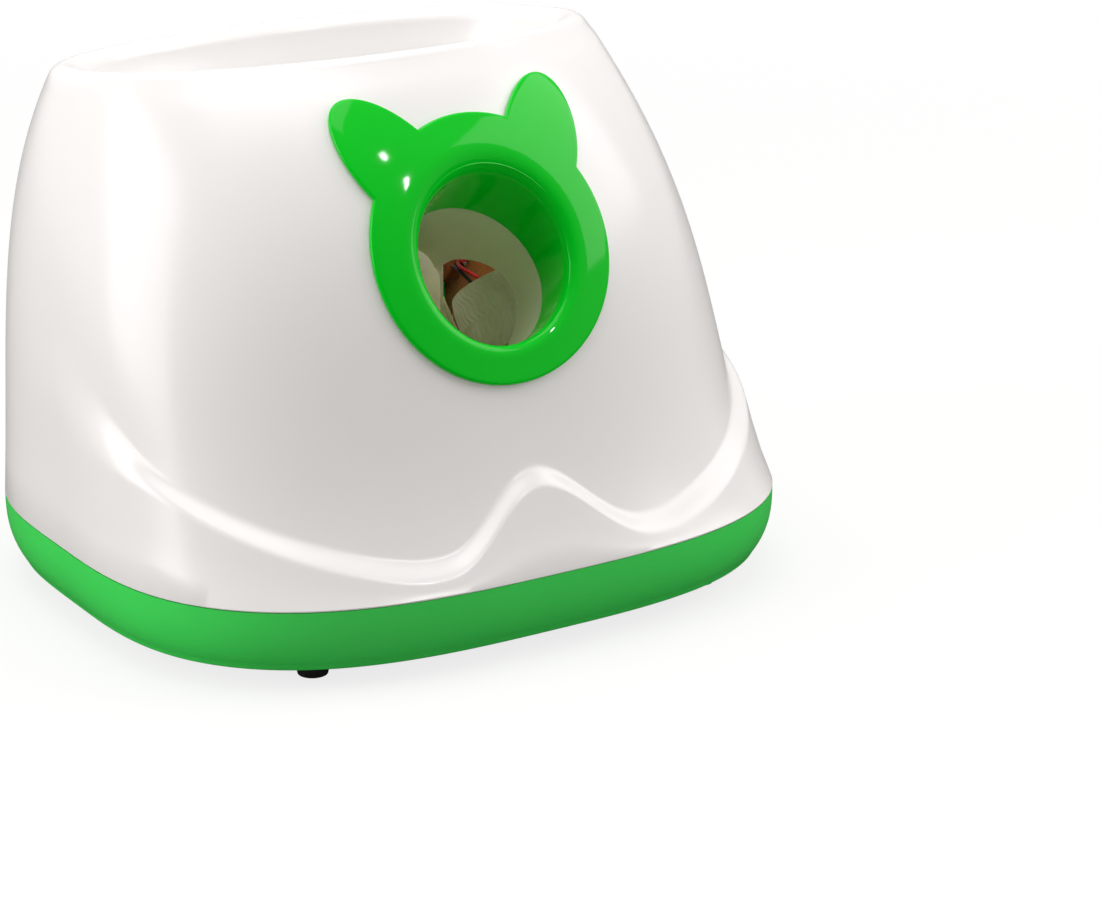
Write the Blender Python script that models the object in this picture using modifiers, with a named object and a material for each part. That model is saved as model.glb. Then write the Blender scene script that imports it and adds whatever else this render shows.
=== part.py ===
"""Automatic dog ball launcher, modelled as the pieces it comes apart into.

Metres, +Z up, the front with the ball's mouth faces -Y. The ground is z = 0 under the rubber feet.
"""
import math

import bmesh
import bpy
import numpy as np
from mathutils import Matrix, Vector

# Clearances and overruns shared by all pieces
GAP = 0.0003
OVERRUN = 0.004
HALF_TURN = math.pi

# Ball and barrel
BALL_DIAMETER = 0.0635
BALL_CLEARANCE = 0.003
BORE_RADIUS = BALL_DIAMETER / 2 + BALL_CLEARANCE
BARREL_WALL = 0.0022
BARREL_PITCH = math.radians(38.5)
BEZEL_DEPTH = 0.0285
BALL_REST_DEPTH = 0.140
BARREL_END_DEPTH = 0.174

# Outer body: the outline at the seam, and how it changes on the way up
HALF_WIDTH = 0.1614
FRONT_REACH = 0.1183
BACK_REACH = 0.1644
FOOT_HEIGHT = 0.008
FLOOR_WALL = 0.003
BAND_HEIGHT = 0.0287
SHELL_HEIGHT = 0.1961
RIM_TILT = math.radians(6.8)
SHELL_WALL = 0.0026
LEDGE_PROUD = 0.005
LEDGE_BAND = 0.009
LEDGE_LOW = 0.0095
LEDGE_PEAK = 0.0275
LEDGE_PEAK_HALF_WIDTH = 0.044
LEDGE_SIDE_RISE = 0.049
RIM_RADIUS = 0.0042
LIP_DEPTH = 0.032
EDGE_LAND = 0.002
level_shares = (0.0, 0.25, 0.5, 0.75, 1.0)
width_shares = (1.0, 0.976, 0.949, 0.885, 0.776)
front_shares = (1.0, 0.820, 0.698, 0.520, 0.152)
back_shares = (1.0, 1.012, 1.035, 1.054, 0.942)
FRONT_POWER_LOW = 2.96
FRONT_POWER_HIGH = 2.07
BACK_POWER_LOW = 2.89
BACK_POWER_HIGH = 2.21

WIDTH_CURVE = np.polyfit(level_shares, width_shares, 4)
FRONT_CURVE = np.polyfit(level_shares, front_shares, 4)
BACK_CURVE = np.polyfit(level_shares, back_shares, 4)
SEAM_HEIGHT = FOOT_HEIGHT + BAND_HEIGHT

# The finished object's plan is centred on the origin
BACK_EXTREME = max(BACK_REACH * np.polyval(BACK_CURVE, share) for share in np.linspace(0, 1, 41))
PLAN_SHIFT = (FRONT_REACH + LEDGE_PROUD - BACK_EXTREME) / 2

# The barrel's height: the feed arm's paddle, at its low end, stays above the battery box
CELL_RADIUS = 0.0131
BATTERY_WALL = 0.002
PADDLE_RADIUS = 0.018
PADDLE_GAP = 0.0006
ARM_THICKNESS = 0.005
ARM_CLEARANCE = 0.0013
FLOOR_TOP = FOOT_HEIGHT + FLOOR_WALL
BATTERY_TOP = FLOOR_TOP + GAP + CELL_RADIUS * 2 + GAP + BATTERY_WALL
PADDLE_DEPTH = BALL_REST_DEPTH + BALL_DIAMETER / 2 + PADDLE_GAP
ARM_DROP = PADDLE_RADIUS * math.cos(BARREL_PITCH) + (PADDLE_DEPTH + ARM_THICKNESS) * math.sin(BARREL_PITCH)
PORT_HEIGHT = BATTERY_TOP + ARM_CLEARANCE + ARM_DROP

for old in list(bpy.data.objects):
    bpy.data.objects.remove(old, do_unlink=True)

parts = bpy.data.collections.new("ball_launcher")
cutters = bpy.data.collections.new("cutters")
bpy.context.scene.collection.children.link(parts)
bpy.context.scene.collection.children.link(cutters)

assembly = bpy.data.objects.new("assembly", None)
assembly.location = (0, PLAN_SHIFT, 0)
parts.objects.link(assembly)


def material(name, colour, roughness, metallic=0.0):
    """A plain Principled finish for one kind of piece."""
    made = bpy.data.materials.new(name)
    made.use_nodes = True
    shader = made.node_tree.nodes["Principled BSDF"]
    shader.inputs["Base Color"].default_value = (*colour, 1.0)
    shader.inputs["Roughness"].default_value = roughness
    shader.inputs["Metallic"].default_value = metallic
    return made


def add_piece(name, mesh, finish, parent=assembly, matrix=None):
    """Links a mesh as a named piece, placed under its parent."""
    piece = bpy.data.objects.new(name, mesh)
    parts.objects.link(piece)
    piece.parent = parent
    if matrix is not None:
        piece.matrix_local = matrix
    mesh.materials.clear()
    mesh.materials.append(finish)
    return piece


def add_cutter(name, mesh, matrix=None, parent=assembly):
    """Links a mesh as a wire-drawn cutter that the model leaves out."""
    cutter = bpy.data.objects.new(name, mesh)
    cutters.objects.link(cutter)
    cutter.parent = parent
    if matrix is not None:
        cutter.matrix_local = matrix
    cutter.hide_render = True
    cutter.display_type = "WIRE"
    return cutter


def combine(piece, other, operation):
    """Adds an exact Boolean of one object with another."""
    step = piece.modifiers.new(operation.lower() + "_" + other.name, "BOOLEAN")
    step.operation = operation
    step.solver = "EXACT"
    step.object = other


def mesh_from(name, build, recalculate=True):
    """Makes a mesh by running one bmesh building function."""
    work = bmesh.new()
    build(work)
    if recalculate:
        bmesh.ops.recalc_face_normals(work, faces=work.faces)
    mesh = bpy.data.meshes.new(name)
    work.to_mesh(mesh)
    work.free()
    return mesh


def smooth(mesh, angle=math.radians(35)):
    mesh.shade_smooth()
    mesh.set_sharp_from_angle(angle=angle)


def box_mesh(name, size_x, size_y, size_z, centre=(0, 0, 0)):
    def build(work):
        bmesh.ops.create_cube(work, size=1.0)
        bmesh.ops.scale(work, vec=(size_x, size_y, size_z), verts=work.verts)
        bmesh.ops.translate(work, vec=centre, verts=work.verts)
    return mesh_from(name, build)


def bevel_mesh(mesh, width, segments=2, axis=None):
    """Rounds all edges of a mesh, or only those that run along one axis."""
    work = bmesh.new()
    work.from_mesh(mesh)
    edges = []
    for edge in work.edges:
        run = (edge.verts[1].co - edge.verts[0].co).normalized()
        if axis is None or abs(run[axis]) > 0.99:
            edges.append(edge)
    bmesh.ops.bevel(work, geom=edges, offset=width, segments=segments, profile=0.5, affect="EDGES")
    work.to_mesh(mesh)
    work.free()
    return mesh


def cylinder_mesh(name, radius, low, high, sides=32):
    """A cylinder along Z, from low to high."""
    def build(work):
        bmesh.ops.create_cone(work, cap_ends=True, cap_tris=False, segments=sides,
                              radius1=radius, radius2=radius, depth=high - low)
        bmesh.ops.translate(work, vec=(0, 0, (low + high) / 2), verts=work.verts)
    return mesh_from(name, build)


def turned(name, profile, finish, steps=32, parent=assembly, matrix=None):
    """A solid turned from a profile of (radius, height), top to bottom down its outer side."""
    points = [Vector((radius, 0, height)) for radius, height in profile]
    mesh = bpy.data.meshes.new(name)
    edges = [(index, index + 1) for index in range(len(points) - 1)]
    mesh.from_pydata(points, edges, [])
    piece = add_piece(name, mesh, finish, parent, matrix)
    screw = piece.modifiers.new("turn", "SCREW")
    screw.axis = "Z"
    screw.steps = steps
    screw.render_steps = steps
    screw.use_merge_vertices = True
    screw.merge_threshold = 0.00001
    screw.use_smooth_shade = False
    return piece


def loft(name, rings, wrap=False, cap_first=False, cap_last=False, recalculate=True):
    """Joins rings of points one after the other; it can wrap round, or close its ends."""
    count = len(rings[0])

    def build(work):
        rows = [[work.verts.new(point) for point in ring] for ring in rings]
        pairs = list(zip(rows[:-1], rows[1:]))
        if wrap:
            pairs.append((rows[-1], rows[0]))
        for first, second in pairs:
            for index in range(count):
                after = (index + 1) % count
                work.faces.new((first[index], first[after], second[after], second[index]))
        if cap_first:
            work.faces.new(list(reversed(rows[0])))
        if cap_last:
            work.faces.new(rows[-1])
    return mesh_from(name, build, recalculate)


def solidified(piece, thickness):
    """Gives an open skin its wall, behind the modelled face."""
    wall = piece.modifiers.new("wall", "SOLIDIFY")
    wall.thickness = thickness
    wall.offset = -1
    wall.use_even_offset = True


# Finishes
WHITE_ABS = material("white_abs", (0.86, 0.86, 0.85), 0.22)
GREEN_ABS = material("green_abs", (0.03, 0.45, 0.04), 0.25)
BEZEL_ABS = material("bezel_green_abs", (0.02, 0.50, 0.03), 0.18)
MILKY_PP = material("milky_polypropylene", (0.70, 0.72, 0.66), 0.35)
BLACK_RUBBER = material("black_rubber", (0.02, 0.02, 0.02), 0.8)
PALE_RUBBER = material("pale_rubber", (0.62, 0.66, 0.55), 0.65)
GREY_ABS = material("grey_abs", (0.35, 0.36, 0.37), 0.45)
BLACK_ABS = material("black_abs", (0.03, 0.03, 0.03), 0.4)
STEEL = material("zinc_plated_steel", (0.62, 0.63, 0.65), 0.3, 1.0)
PHENOLIC = material("phenolic_board", (0.30, 0.16, 0.07), 0.5)
CELL_JACKET = material("cell_jacket", (0.10, 0.10, 0.12), 0.35)
CLEAR_LENS = material("clear_lens", (0.75, 0.78, 0.75), 0.1)
RED_WIRE = material("red_wire", (0.5, 0.02, 0.02), 0.4)
BLACK_WIRE = material("black_wire", (0.02, 0.02, 0.02), 0.4)


# Outer surface of the body, as a function of the angle from the front and the height share

def outline_radius(angle, share, proud):
    """Distance from the outline's centre to its edge, seen from above."""
    half_width = HALF_WIDTH * np.polyval(WIDTH_CURVE, share) + proud
    front = FRONT_REACH * np.polyval(FRONT_CURVE, share) + proud
    back = BACK_REACH * np.polyval(BACK_CURVE, share) + proud
    half_depth = (front + back) / 2
    if math.cos(angle) > 0:
        power = FRONT_POWER_LOW + (FRONT_POWER_HIGH - FRONT_POWER_LOW) * share
    else:
        power = BACK_POWER_LOW + (BACK_POWER_HIGH - BACK_POWER_LOW) * share
    across = abs(math.sin(angle)) / half_width
    along = abs(math.cos(angle)) / half_depth
    return (across ** power + along ** power) ** (-1 / power), (back - front) / 2


def rim_slope(share):
    return math.tan(-RIM_TILT * share * share)


def body_point(angle, share, proud=0.0):
    """A point of the outer surface; angle 0 is the front, share 0 the seam, 1 the rim."""
    radius, centre = outline_radius(angle, share, proud)
    across = radius * math.sin(angle)
    along = -radius * math.cos(angle)
    height = SEAM_HEIGHT + SHELL_HEIGHT * share + rim_slope(share) * along
    return Vector((across, centre + along, height))


def front_surface(across, height):
    """The y of the body's front surface at one x and z."""
    share = (height - SEAM_HEIGHT) / SHELL_HEIGHT
    for _ in range(12):
        half_width = HALF_WIDTH * np.polyval(WIDTH_CURVE, share)
        front = FRONT_REACH * np.polyval(FRONT_CURVE, share)
        back = BACK_REACH * np.polyval(BACK_CURVE, share)
        power = FRONT_POWER_LOW + (FRONT_POWER_HIGH - FRONT_POWER_LOW) * share
        fraction = min(abs(across) / half_width, 0.999)
        along = -(front + back) / 2 * (1 - fraction ** power) ** (1 / power)
        share = (height - SEAM_HEIGHT - rim_slope(share) * along) / SHELL_HEIGHT
    return (back - front) / 2 + along


def skirt_fade(angle):
    """How far the skirt stands out: fully at the front, not at all at the back."""
    start = math.radians(62)
    end = math.radians(115)
    turn = min(max((abs(angle) - start) / (end - start), 0.0), 1.0)
    return 1 - turn * turn * (3 - 2 * turn)


def ledge_height(angle):
    """Height of the wave-shaped ledge above the seam."""
    across = abs(body_point(angle, 0.1).x)
    peak = 0.0
    if across < LEDGE_PEAK_HALF_WIDTH and math.cos(angle) > 0:
        peak = LEDGE_PEAK * (1 + math.cos(math.pi * across / LEDGE_PEAK_HALF_WIDTH)) / 2
    start = math.radians(24)
    end = math.radians(75)
    turn = min(max((abs(angle) - start) / (end - start), 0.0), 1.25)
    return LEDGE_LOW + peak + LEDGE_SIDE_RISE * turn ** 1.35


def body_angles(front_count, back_count):
    """Angles round the body, close together across the front and wider behind."""
    front_half = math.radians(60)
    front = [-front_half + 2 * front_half * step / front_count for step in range(front_count)]
    rest = 2 * math.pi - 2 * front_half
    back = [front_half + rest * step / back_count for step in range(back_count)]
    return front + [angle if angle <= math.pi else angle - 2 * math.pi for angle in back]


def skin_ring(angles, share, proud_share, inset=0.0):
    """One closed ring of the outer surface, optionally set in from it."""
    return [body_point(angle, share, LEDGE_PROUD * proud_share * skirt_fade(angle) - inset)
            for angle in angles]


# Top shell: tapering skin, wave ledge, rolled rim and a lip inside it

ANGLES = body_angles(34, 24)
RIM_START = math.radians(62)
ROLL_STEPS = 3
LIP_LEAN = 0.30
RIM_SHARE = 0.975
ledge_steps = ((-0.5, 1.0), (-0.18, 0.85), (0.18, 0.15), (0.5, 0.0))
LEDGE_CLEAR_SHARE = 0.06
upper_shares = (0.36, 0.52, 0.66, 0.78, 0.89, RIM_SHARE)


def shell_rings():
    seam = skin_ring(ANGLES, 0.0, 1.0)
    rings = [seam, [point + Vector((0, 0, EDGE_LAND)) for point in seam]]
    for offset_share, proud_share in ledge_steps:
        ring = []
        for angle in ANGLES:
            share = (ledge_height(angle) + LEDGE_BAND * offset_share) / SHELL_HEIGHT
            ring.append(body_point(angle, share, LEDGE_PROUD * proud_share * skirt_fade(angle)))
        rings.append(ring)
    for upper in upper_shares:
        ring = []
        for angle in ANGLES:
            ledge = (ledge_height(angle) + LEDGE_BAND * ledge_steps[-1][0]) / SHELL_HEIGHT
            first = upper_shares[0]
            spread = (upper - first) / (RIM_SHARE - first)
            start = max(first, ledge + LEDGE_CLEAR_SHARE)
            ring.append(body_point(angle, start + (RIM_SHARE - start) * spread))
        rings.append(ring)
    for step in range(ROLL_STEPS + 1):
        turn = RIM_START + (math.pi - RIM_START) * step / ROLL_STEPS
        rings.append(rim_ring(ANGLES, turn, 0.0))
    rings.append(rim_ring(ANGLES, math.pi, LIP_DEPTH))
    rings.append([point - Vector((0, 0, EDGE_LAND)) for point in rings[-1]])
    return rings


def rim_ring(angles, turn, depth):
    """A ring on the rolled rim, or further down the lip inside it."""
    ring = []
    for angle in angles:
        out = RIM_RADIUS * math.cos(turn) - depth * LIP_LEAN
        crest = body_point(angle, 1.0, out)
        rise = RIM_RADIUS * math.sin(turn) - RIM_RADIUS - depth
        ring.append(crest + Vector((0, 0, rise)))
    return ring


shell_mesh = loft("top_shell", shell_rings())
smooth(shell_mesh)
top_shell = add_piece("top_shell", shell_mesh, WHITE_ABS)
solidified(top_shell, SHELL_WALL)


# Frame of the barrel: x across, y up square to the barrel, z outward along it, depth is -z
PORT_CENTRE = Vector((0, front_surface(0, PORT_HEIGHT), PORT_HEIGHT))
OUTWARD = Vector((0, -math.cos(BARREL_PITCH), math.sin(BARREL_PITCH)))
UPWARD = Vector((0, math.sin(BARREL_PITCH), math.cos(BARREL_PITCH)))
BARREL = Matrix.Translation(PORT_CENTRE) @ Matrix.Rotation(HALF_TURN / 2 - BARREL_PITCH, 4, "X")


def in_barrel(across, up, depth):
    """Body coordinates of a point given in the barrel's frame."""
    return PORT_CENTRE + Vector((across, 0, 0)) + UPWARD * up - OUTWARD * depth


# Port bezel: a flange with two ears, wrapped on the body, and the flared tube behind it

FLANGE_RADIUS = 0.058
FLANGE_THICKNESS = 0.0026
FLANGE_EDGE = 0.0014
FLANGE_LEAN = math.radians(22)
MOUTH_RADIUS = 0.0358
MOUTH_FILLET = 0.0048
EAR_ACROSS = 0.0346
EAR_UP = 0.0386
EAR_LONG = 0.0328
EAR_WIDE = 0.0190
EAR_TURN = math.radians(56.2)
EAR_ROUND_STEPS = 24
NOTCH_STEPS = 200
TOP_STEPS = 3
RING_STEPS = 26
FILLET_STEPS = 3
face_shares = (0.33, 0.67)
back_shares_of_flange = (0.25, 0.5, 0.75)


def surface_normal(across, height):
    """Outward normal of the body's front surface."""
    step = FLANGE_THICKNESS
    slope_x = (front_surface(across + step, height) - front_surface(across - step, height)) / (2 * step)
    slope_z = (front_surface(across, height + step) - front_surface(across, height - step)) / (2 * step)
    return Vector((slope_x, -1, slope_z)).normalized()


def on_flange(direction, radius, lift):
    """A point at a polar direction and radius round the port, lifted off the body."""
    across = radius * math.cos(direction)
    height = PORT_HEIGHT + radius * math.sin(direction) * math.cos(FLANGE_LEAN)
    point = Vector((across, front_surface(across, height), height))
    return point + surface_normal(across, height) * lift


def ear_reach(direction):
    """Distance from the port's centre to the far side of the ear, or zero beside it."""
    if math.cos(direction) < 0:
        direction = math.pi - direction
    ray = Vector((math.cos(direction), math.sin(direction)))
    along = Vector((math.cos(EAR_TURN), math.sin(EAR_TURN)))
    beside = Vector((math.sin(EAR_TURN), -math.cos(EAR_TURN)))
    centre = Vector((EAR_ACROSS, EAR_UP))
    ray_a, ray_b = ray.dot(along) / EAR_LONG, ray.dot(beside) / EAR_WIDE
    centre_a, centre_b = centre.dot(along) / EAR_LONG, centre.dot(beside) / EAR_WIDE
    square = ray_a * ray_a + ray_b * ray_b
    middle = ray_a * centre_a + ray_b * centre_b
    rest = centre_a * centre_a + centre_b * centre_b - 1
    inside = middle * middle - square * rest
    return 0.0 if inside < 0 else (middle + math.sqrt(inside)) / square


def flange_reach(direction):
    return max(FLANGE_RADIUS, ear_reach(direction))


def flange_directions():
    """Polar directions of the bezel's sections: along each ear's edge, and evenly between the ears."""
    ear = []
    for step in range(EAR_ROUND_STEPS):
        turn = 2 * math.pi * step / EAR_ROUND_STEPS
        long, wide = EAR_LONG * math.cos(turn), EAR_WIDE * math.sin(turn)
        across = EAR_ACROSS + long * math.cos(EAR_TURN) - wide * math.sin(EAR_TURN)
        up = EAR_UP + long * math.sin(EAR_TURN) + wide * math.cos(EAR_TURN)
        if math.hypot(across, up) > FLANGE_RADIUS:
            ear.append(math.atan2(up, across))
    fine = [step / NOTCH_STEPS for step in range(int(NOTCH_STEPS * math.pi / 2))]
    outside = [turn for turn in fine if ear_reach(turn) <= FLANGE_RADIUS]
    ear.append(max(turn for turn in outside if turn < min(ear)))
    ear.append(min(turn for turn in outside if turn > max(ear)))
    ear.sort()
    top_span = math.pi / 2 - ear[-1]
    right = ear + [ear[-1] + top_span * step / TOP_STEPS for step in range(1, TOP_STEPS)]
    left = [math.pi - turn for turn in reversed(right)]
    lower_span = 2 * math.pi - left[-1] + right[0]
    lower = [left[-1] + lower_span * step / RING_STEPS for step in range(1, RING_STEPS)]
    return [math.remainder(turn, 2 * math.pi) for turn in right + [math.pi / 2] + left + lower]


def mouth_point(turn, radius, lift):
    """Where a line along the barrel's wall meets the flange's face."""
    depth = 0.0
    for _ in range(12):
        point = in_barrel(radius * math.cos(turn), radius * math.sin(turn), depth)
        depth += (front_surface(point.x, point.z) - lift - point.y) / -OUTWARD.y
    return in_barrel(radius * math.cos(turn), radius * math.sin(turn), depth), depth


def bezel_profile(direction):
    """The closed outline of the bezel's section in one polar direction on the flange."""
    turn = direction
    for _ in range(12):
        hole, hole_depth = mouth_point(turn, MOUTH_RADIUS, FLANGE_THICKNESS)
        rise = (hole.z - PORT_HEIGHT) / math.cos(FLANGE_LEAN)
        turn += math.remainder(direction - math.atan2(rise, hole.x), 2 * math.pi)
    hole_radius = math.hypot(hole.x, rise)
    reach = flange_reach(direction)
    inner = on_flange(direction, hole_radius + MOUTH_FILLET, FLANGE_THICKNESS)
    wall = in_barrel(MOUTH_RADIUS * math.cos(turn), MOUTH_RADIUS * math.sin(turn),
                     hole_depth + MOUTH_FILLET)
    outer_radius = BORE_RADIUS + BARREL_WALL
    sleeve = MOUTH_RADIUS + BARREL_WALL
    rim_radius = hole_radius + MOUTH_FILLET
    points = [
        on_flange(direction, reach, GAP),
        on_flange(direction, reach, FLANGE_THICKNESS - FLANGE_EDGE),
        on_flange(direction, reach - FLANGE_EDGE, FLANGE_THICKNESS),
    ]
    for share in face_shares:
        radius = reach - FLANGE_EDGE + (rim_radius - reach + FLANGE_EDGE) * share
        points.append(on_flange(direction, radius, FLANGE_THICKNESS))
    for step in range(FILLET_STEPS + 1):
        share = step / FILLET_STEPS
        points.append(inner.lerp(hole, share).lerp(hole.lerp(wall, share), share))
    points += [
        in_barrel(BORE_RADIUS * math.cos(turn), BORE_RADIUS * math.sin(turn), BEZEL_DEPTH),
        in_barrel(outer_radius * math.cos(turn), outer_radius * math.sin(turn), BEZEL_DEPTH),
        in_barrel(sleeve * math.cos(turn), sleeve * math.sin(turn), hole_depth + MOUTH_FILLET),
    ]
    back, _ = mouth_point(turn, sleeve, GAP)
    points.append(back)
    back_radius = math.hypot(back.x, (back.z - PORT_HEIGHT) / math.cos(FLANGE_LEAN))
    back_direction = math.atan2((back.z - PORT_HEIGHT) / math.cos(FLANGE_LEAN), back.x)
    swing = math.remainder(direction - back_direction, 2 * math.pi)
    for share in back_shares_of_flange:
        turned_to = back_direction + swing * share
        points.append(on_flange(turned_to, back_radius + (reach - back_radius) * share, GAP))
    return points


profiles = [bezel_profile(direction) for direction in flange_directions()]
bezel_mesh = loft("port_bezel", list(zip(*profiles)), wrap=True)
smooth(bezel_mesh)
port_bezel = add_piece("port_bezel", bezel_mesh, BEZEL_ABS)

port_cut = add_cutter("port_cut", cylinder_mesh("port_cut", MOUTH_RADIUS + BARREL_WALL + GAP * 2,
                                                -BEZEL_DEPTH, BEZEL_DEPTH, 64), BARREL)
combine(top_shell, port_cut, "DIFFERENCE")

# Base tub: green band, floor, and what stands on it

BAND_INSET = 0.0065
LAND_SHARE = 1 - EDGE_LAND / BAND_HEIGHT
band_rows = ((1.0, 0.0), (LAND_SHARE, 0.0), (0.60, 0.10), (0.28, 0.37), (0.07, 0.77), (0.0, 1.0))


def tub_rings():
    rings = []
    for height_share, inset_share in band_rows:
        ring = skin_ring(ANGLES, 0.0, 1.0, BAND_INSET * inset_share)
        height = FOOT_HEIGHT + (BAND_HEIGHT - GAP) * height_share
        rings.append([Vector((point.x, point.y, height)) for point in ring])
    return rings


tub_mesh = loft("base_tub", tub_rings(), cap_last=True)
smooth(tub_mesh)
base_tub = add_piece("base_tub", tub_mesh, GREEN_ABS)
solidified(base_tub, FLOOR_WALL)

# Rubber feet with a stem pushed through the floor

FOOT_RADIUS = 0.0066
FOOT_TOP_RADIUS = 0.0078
FOOT_STEM_RADIUS = 0.003
FOOT_STEM = 0.0055
FOOT_SIDE_INSET = 0.0614
FOOT_FRONT_INSET = 0.0343
FOOT_BACK_INSET = 0.0384
FOOT_ACROSS = HALF_WIDTH - FOOT_SIDE_INSET
FOOT_FRONT = FOOT_FRONT_INSET - FRONT_REACH
FOOT_BACK = BACK_REACH - FOOT_BACK_INSET
foot_places = {
    "foot_front_left": (-FOOT_ACROSS, FOOT_FRONT),
    "foot_front_right": (FOOT_ACROSS, FOOT_FRONT),
    "foot_rear_left": (-FOOT_ACROSS, FOOT_BACK),
    "foot_rear_right": (FOOT_ACROSS, FOOT_BACK),
}
FOOT_EDGE = 0.0008
foot_profile = (
    (0, FOOT_HEIGHT + FOOT_STEM),
    (FOOT_STEM_RADIUS, FOOT_HEIGHT + FOOT_STEM),
    (FOOT_STEM_RADIUS, FOOT_HEIGHT - GAP),
    (FOOT_TOP_RADIUS, FOOT_HEIGHT - GAP),
    (FOOT_RADIUS, FOOT_EDGE),
    (FOOT_RADIUS - FOOT_EDGE, 0),
    (0, 0),
)
for name, (across, along) in foot_places.items():
    place = Matrix.Translation((across, along, 0))
    turned(name, foot_profile, BLACK_RUBBER, 20, matrix=place)
    hole = cylinder_mesh(name + "_hole", FOOT_STEM_RADIUS + GAP, FOOT_HEIGHT - OVERRUN,
                         FLOOR_TOP + OVERRUN, 20)
    combine(base_tub, add_cutter(name + "_hole", hole, place), "DIFFERENCE")

# Screw posts inside the shell, and the case screws that come up through the floor

POST_RADIUS = 0.0048
POST_RIB = 0.0024
POST_TOP = 0.112
PILOT_RADIUS = 0.0021
PILOT_DEPTH = 0.014
SCREW_RADIUS = 0.00175
SCREW_LENGTH = 0.013
SCREW_HEAD_RADIUS = 0.0036
SCREW_HEAD = 0.0014
POST_FRONT_SIDE_INSET = 0.0434
POST_FRONT_INSET = 0.0583
POST_BACK_SIDE_INSET = 0.0374
POST_BACK_INSET = 0.0604
POST_FRONT_ACROSS = HALF_WIDTH - POST_FRONT_SIDE_INSET
POST_FRONT = POST_FRONT_INSET - FRONT_REACH
POST_BACK_ACROSS = HALF_WIDTH - POST_BACK_SIDE_INSET
POST_BACK = BACK_REACH - POST_BACK_INSET
POST_REACH = 0.05
post_places = {
    "case_screw_front_left": (-POST_FRONT_ACROSS, POST_FRONT),
    "case_screw_front_right": (POST_FRONT_ACROSS, POST_FRONT),
    "case_screw_rear_left": (-POST_BACK_ACROSS, POST_BACK),
    "case_screw_rear_right": (POST_BACK_ACROSS, POST_BACK),
}
envelope_shares = (0.0, 0.12, 0.25, 0.38, 0.5)
ENVELOPE_INSET = SHELL_WALL / 2
TUB_CLEARANCE = 0.0012


def envelope_rings():
    """The inside of the body: narrow in the tub, and to mid-wall within the shell."""
    low = skin_ring(ANGLES, 0.0, 0.0, BAND_INSET + FLOOR_WALL + TUB_CLEARANCE)
    rings = [[Vector((point.x, point.y, FLOOR_TOP + GAP)) for point in low]]
    rings.append([Vector((point.x, point.y, SEAM_HEIGHT + TUB_CLEARANCE)) for point in low])
    for share in envelope_shares[1:]:
        rings.append(skin_ring(ANGLES, share, 0.0, ENVELOPE_INSET))
    return rings


envelope = add_cutter("shell_inside", loft("shell_inside", envelope_rings(), cap_first=True, cap_last=True))
screw_profile = (
    (0, FOOT_HEIGHT + SCREW_HEAD + SCREW_LENGTH),
    (SCREW_RADIUS / 2, FOOT_HEIGHT + SCREW_HEAD + SCREW_LENGTH),
    (SCREW_RADIUS, FOOT_HEIGHT + SCREW_LENGTH),
    (SCREW_RADIUS, FOOT_HEIGHT + SCREW_HEAD),
    (SCREW_HEAD_RADIUS, FOOT_HEIGHT + SCREW_HEAD),
    (SCREW_HEAD_RADIUS, FOOT_HEIGHT + GAP),
    (0, FOOT_HEIGHT + GAP),
)
for name, (across, along) in post_places.items():
    place = Matrix.Translation((across, along, 0))
    outward_turn = math.atan2(along - (BACK_REACH - FRONT_REACH) / 2, across)
    post = add_cutter(name + "_post", cylinder_mesh(name + "_post", POST_RADIUS, FOOT_HEIGHT,
                                                    POST_TOP, 16), place)
    rib_size = POST_TOP - SEAM_HEIGHT
    rib_mesh = box_mesh(name + "_rib", POST_REACH, POST_RIB, rib_size,
                        (POST_REACH / 2, 0, SEAM_HEIGHT + OVERRUN + rib_size / 2))
    rib = add_cutter(name + "_rib", rib_mesh, place @ Matrix.Rotation(outward_turn, 4, "Z"))
    combine(post, rib, "UNION")
    combine(post, envelope, "INTERSECT")
    combine(top_shell, post, "UNION")
    pilot = cylinder_mesh(name + "_pilot", PILOT_RADIUS, FOOT_HEIGHT, FLOOR_TOP + PILOT_DEPTH, 12)
    combine(top_shell, add_cutter(name + "_pilot", pilot, place), "DIFFERENCE")
    clearance = cylinder_mesh(name + "_clearance", PILOT_RADIUS, FOOT_HEIGHT - OVERRUN,
                              FLOOR_TOP + OVERRUN, 12)
    combine(base_tub, add_cutter(name + "_clearance", clearance, place), "DIFFERENCE")
    counterbore = cylinder_mesh(name + "_counterbore", SCREW_HEAD_RADIUS + GAP * 2,
                                FOOT_HEIGHT - OVERRUN, FOOT_HEIGHT + SCREW_HEAD + GAP, 16)
    combine(base_tub, add_cutter(name + "_counterbore", counterbore, place), "DIFFERENCE")
    turned(name, screw_profile, STEEL, 12, matrix=place)

# Hopper funnel: carries on from the shell's lip to the throat over the barrel

FUNNEL_WALL = 0.002
THROAT_RADIUS = 0.0355
THROAT_TOP = 0.160
THROAT_BOTTOM = 0.114
FUNNEL_BARREL_GAP = 0.001
BALL_REST = in_barrel(0, 0, BALL_REST_DEPTH)
FUNNEL_ANGLES = body_angles(16, 24)
bowl_rows = ((0.34, 0.30), (0.70, 0.62), (0.92, 0.88), (1.0, 1.0))


def throat_ring(height):
    return [Vector((THROAT_RADIUS * math.sin(angle), BALL_REST.y - THROAT_RADIUS * math.cos(angle),
                    height)) for angle in FUNNEL_ANGLES]


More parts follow.
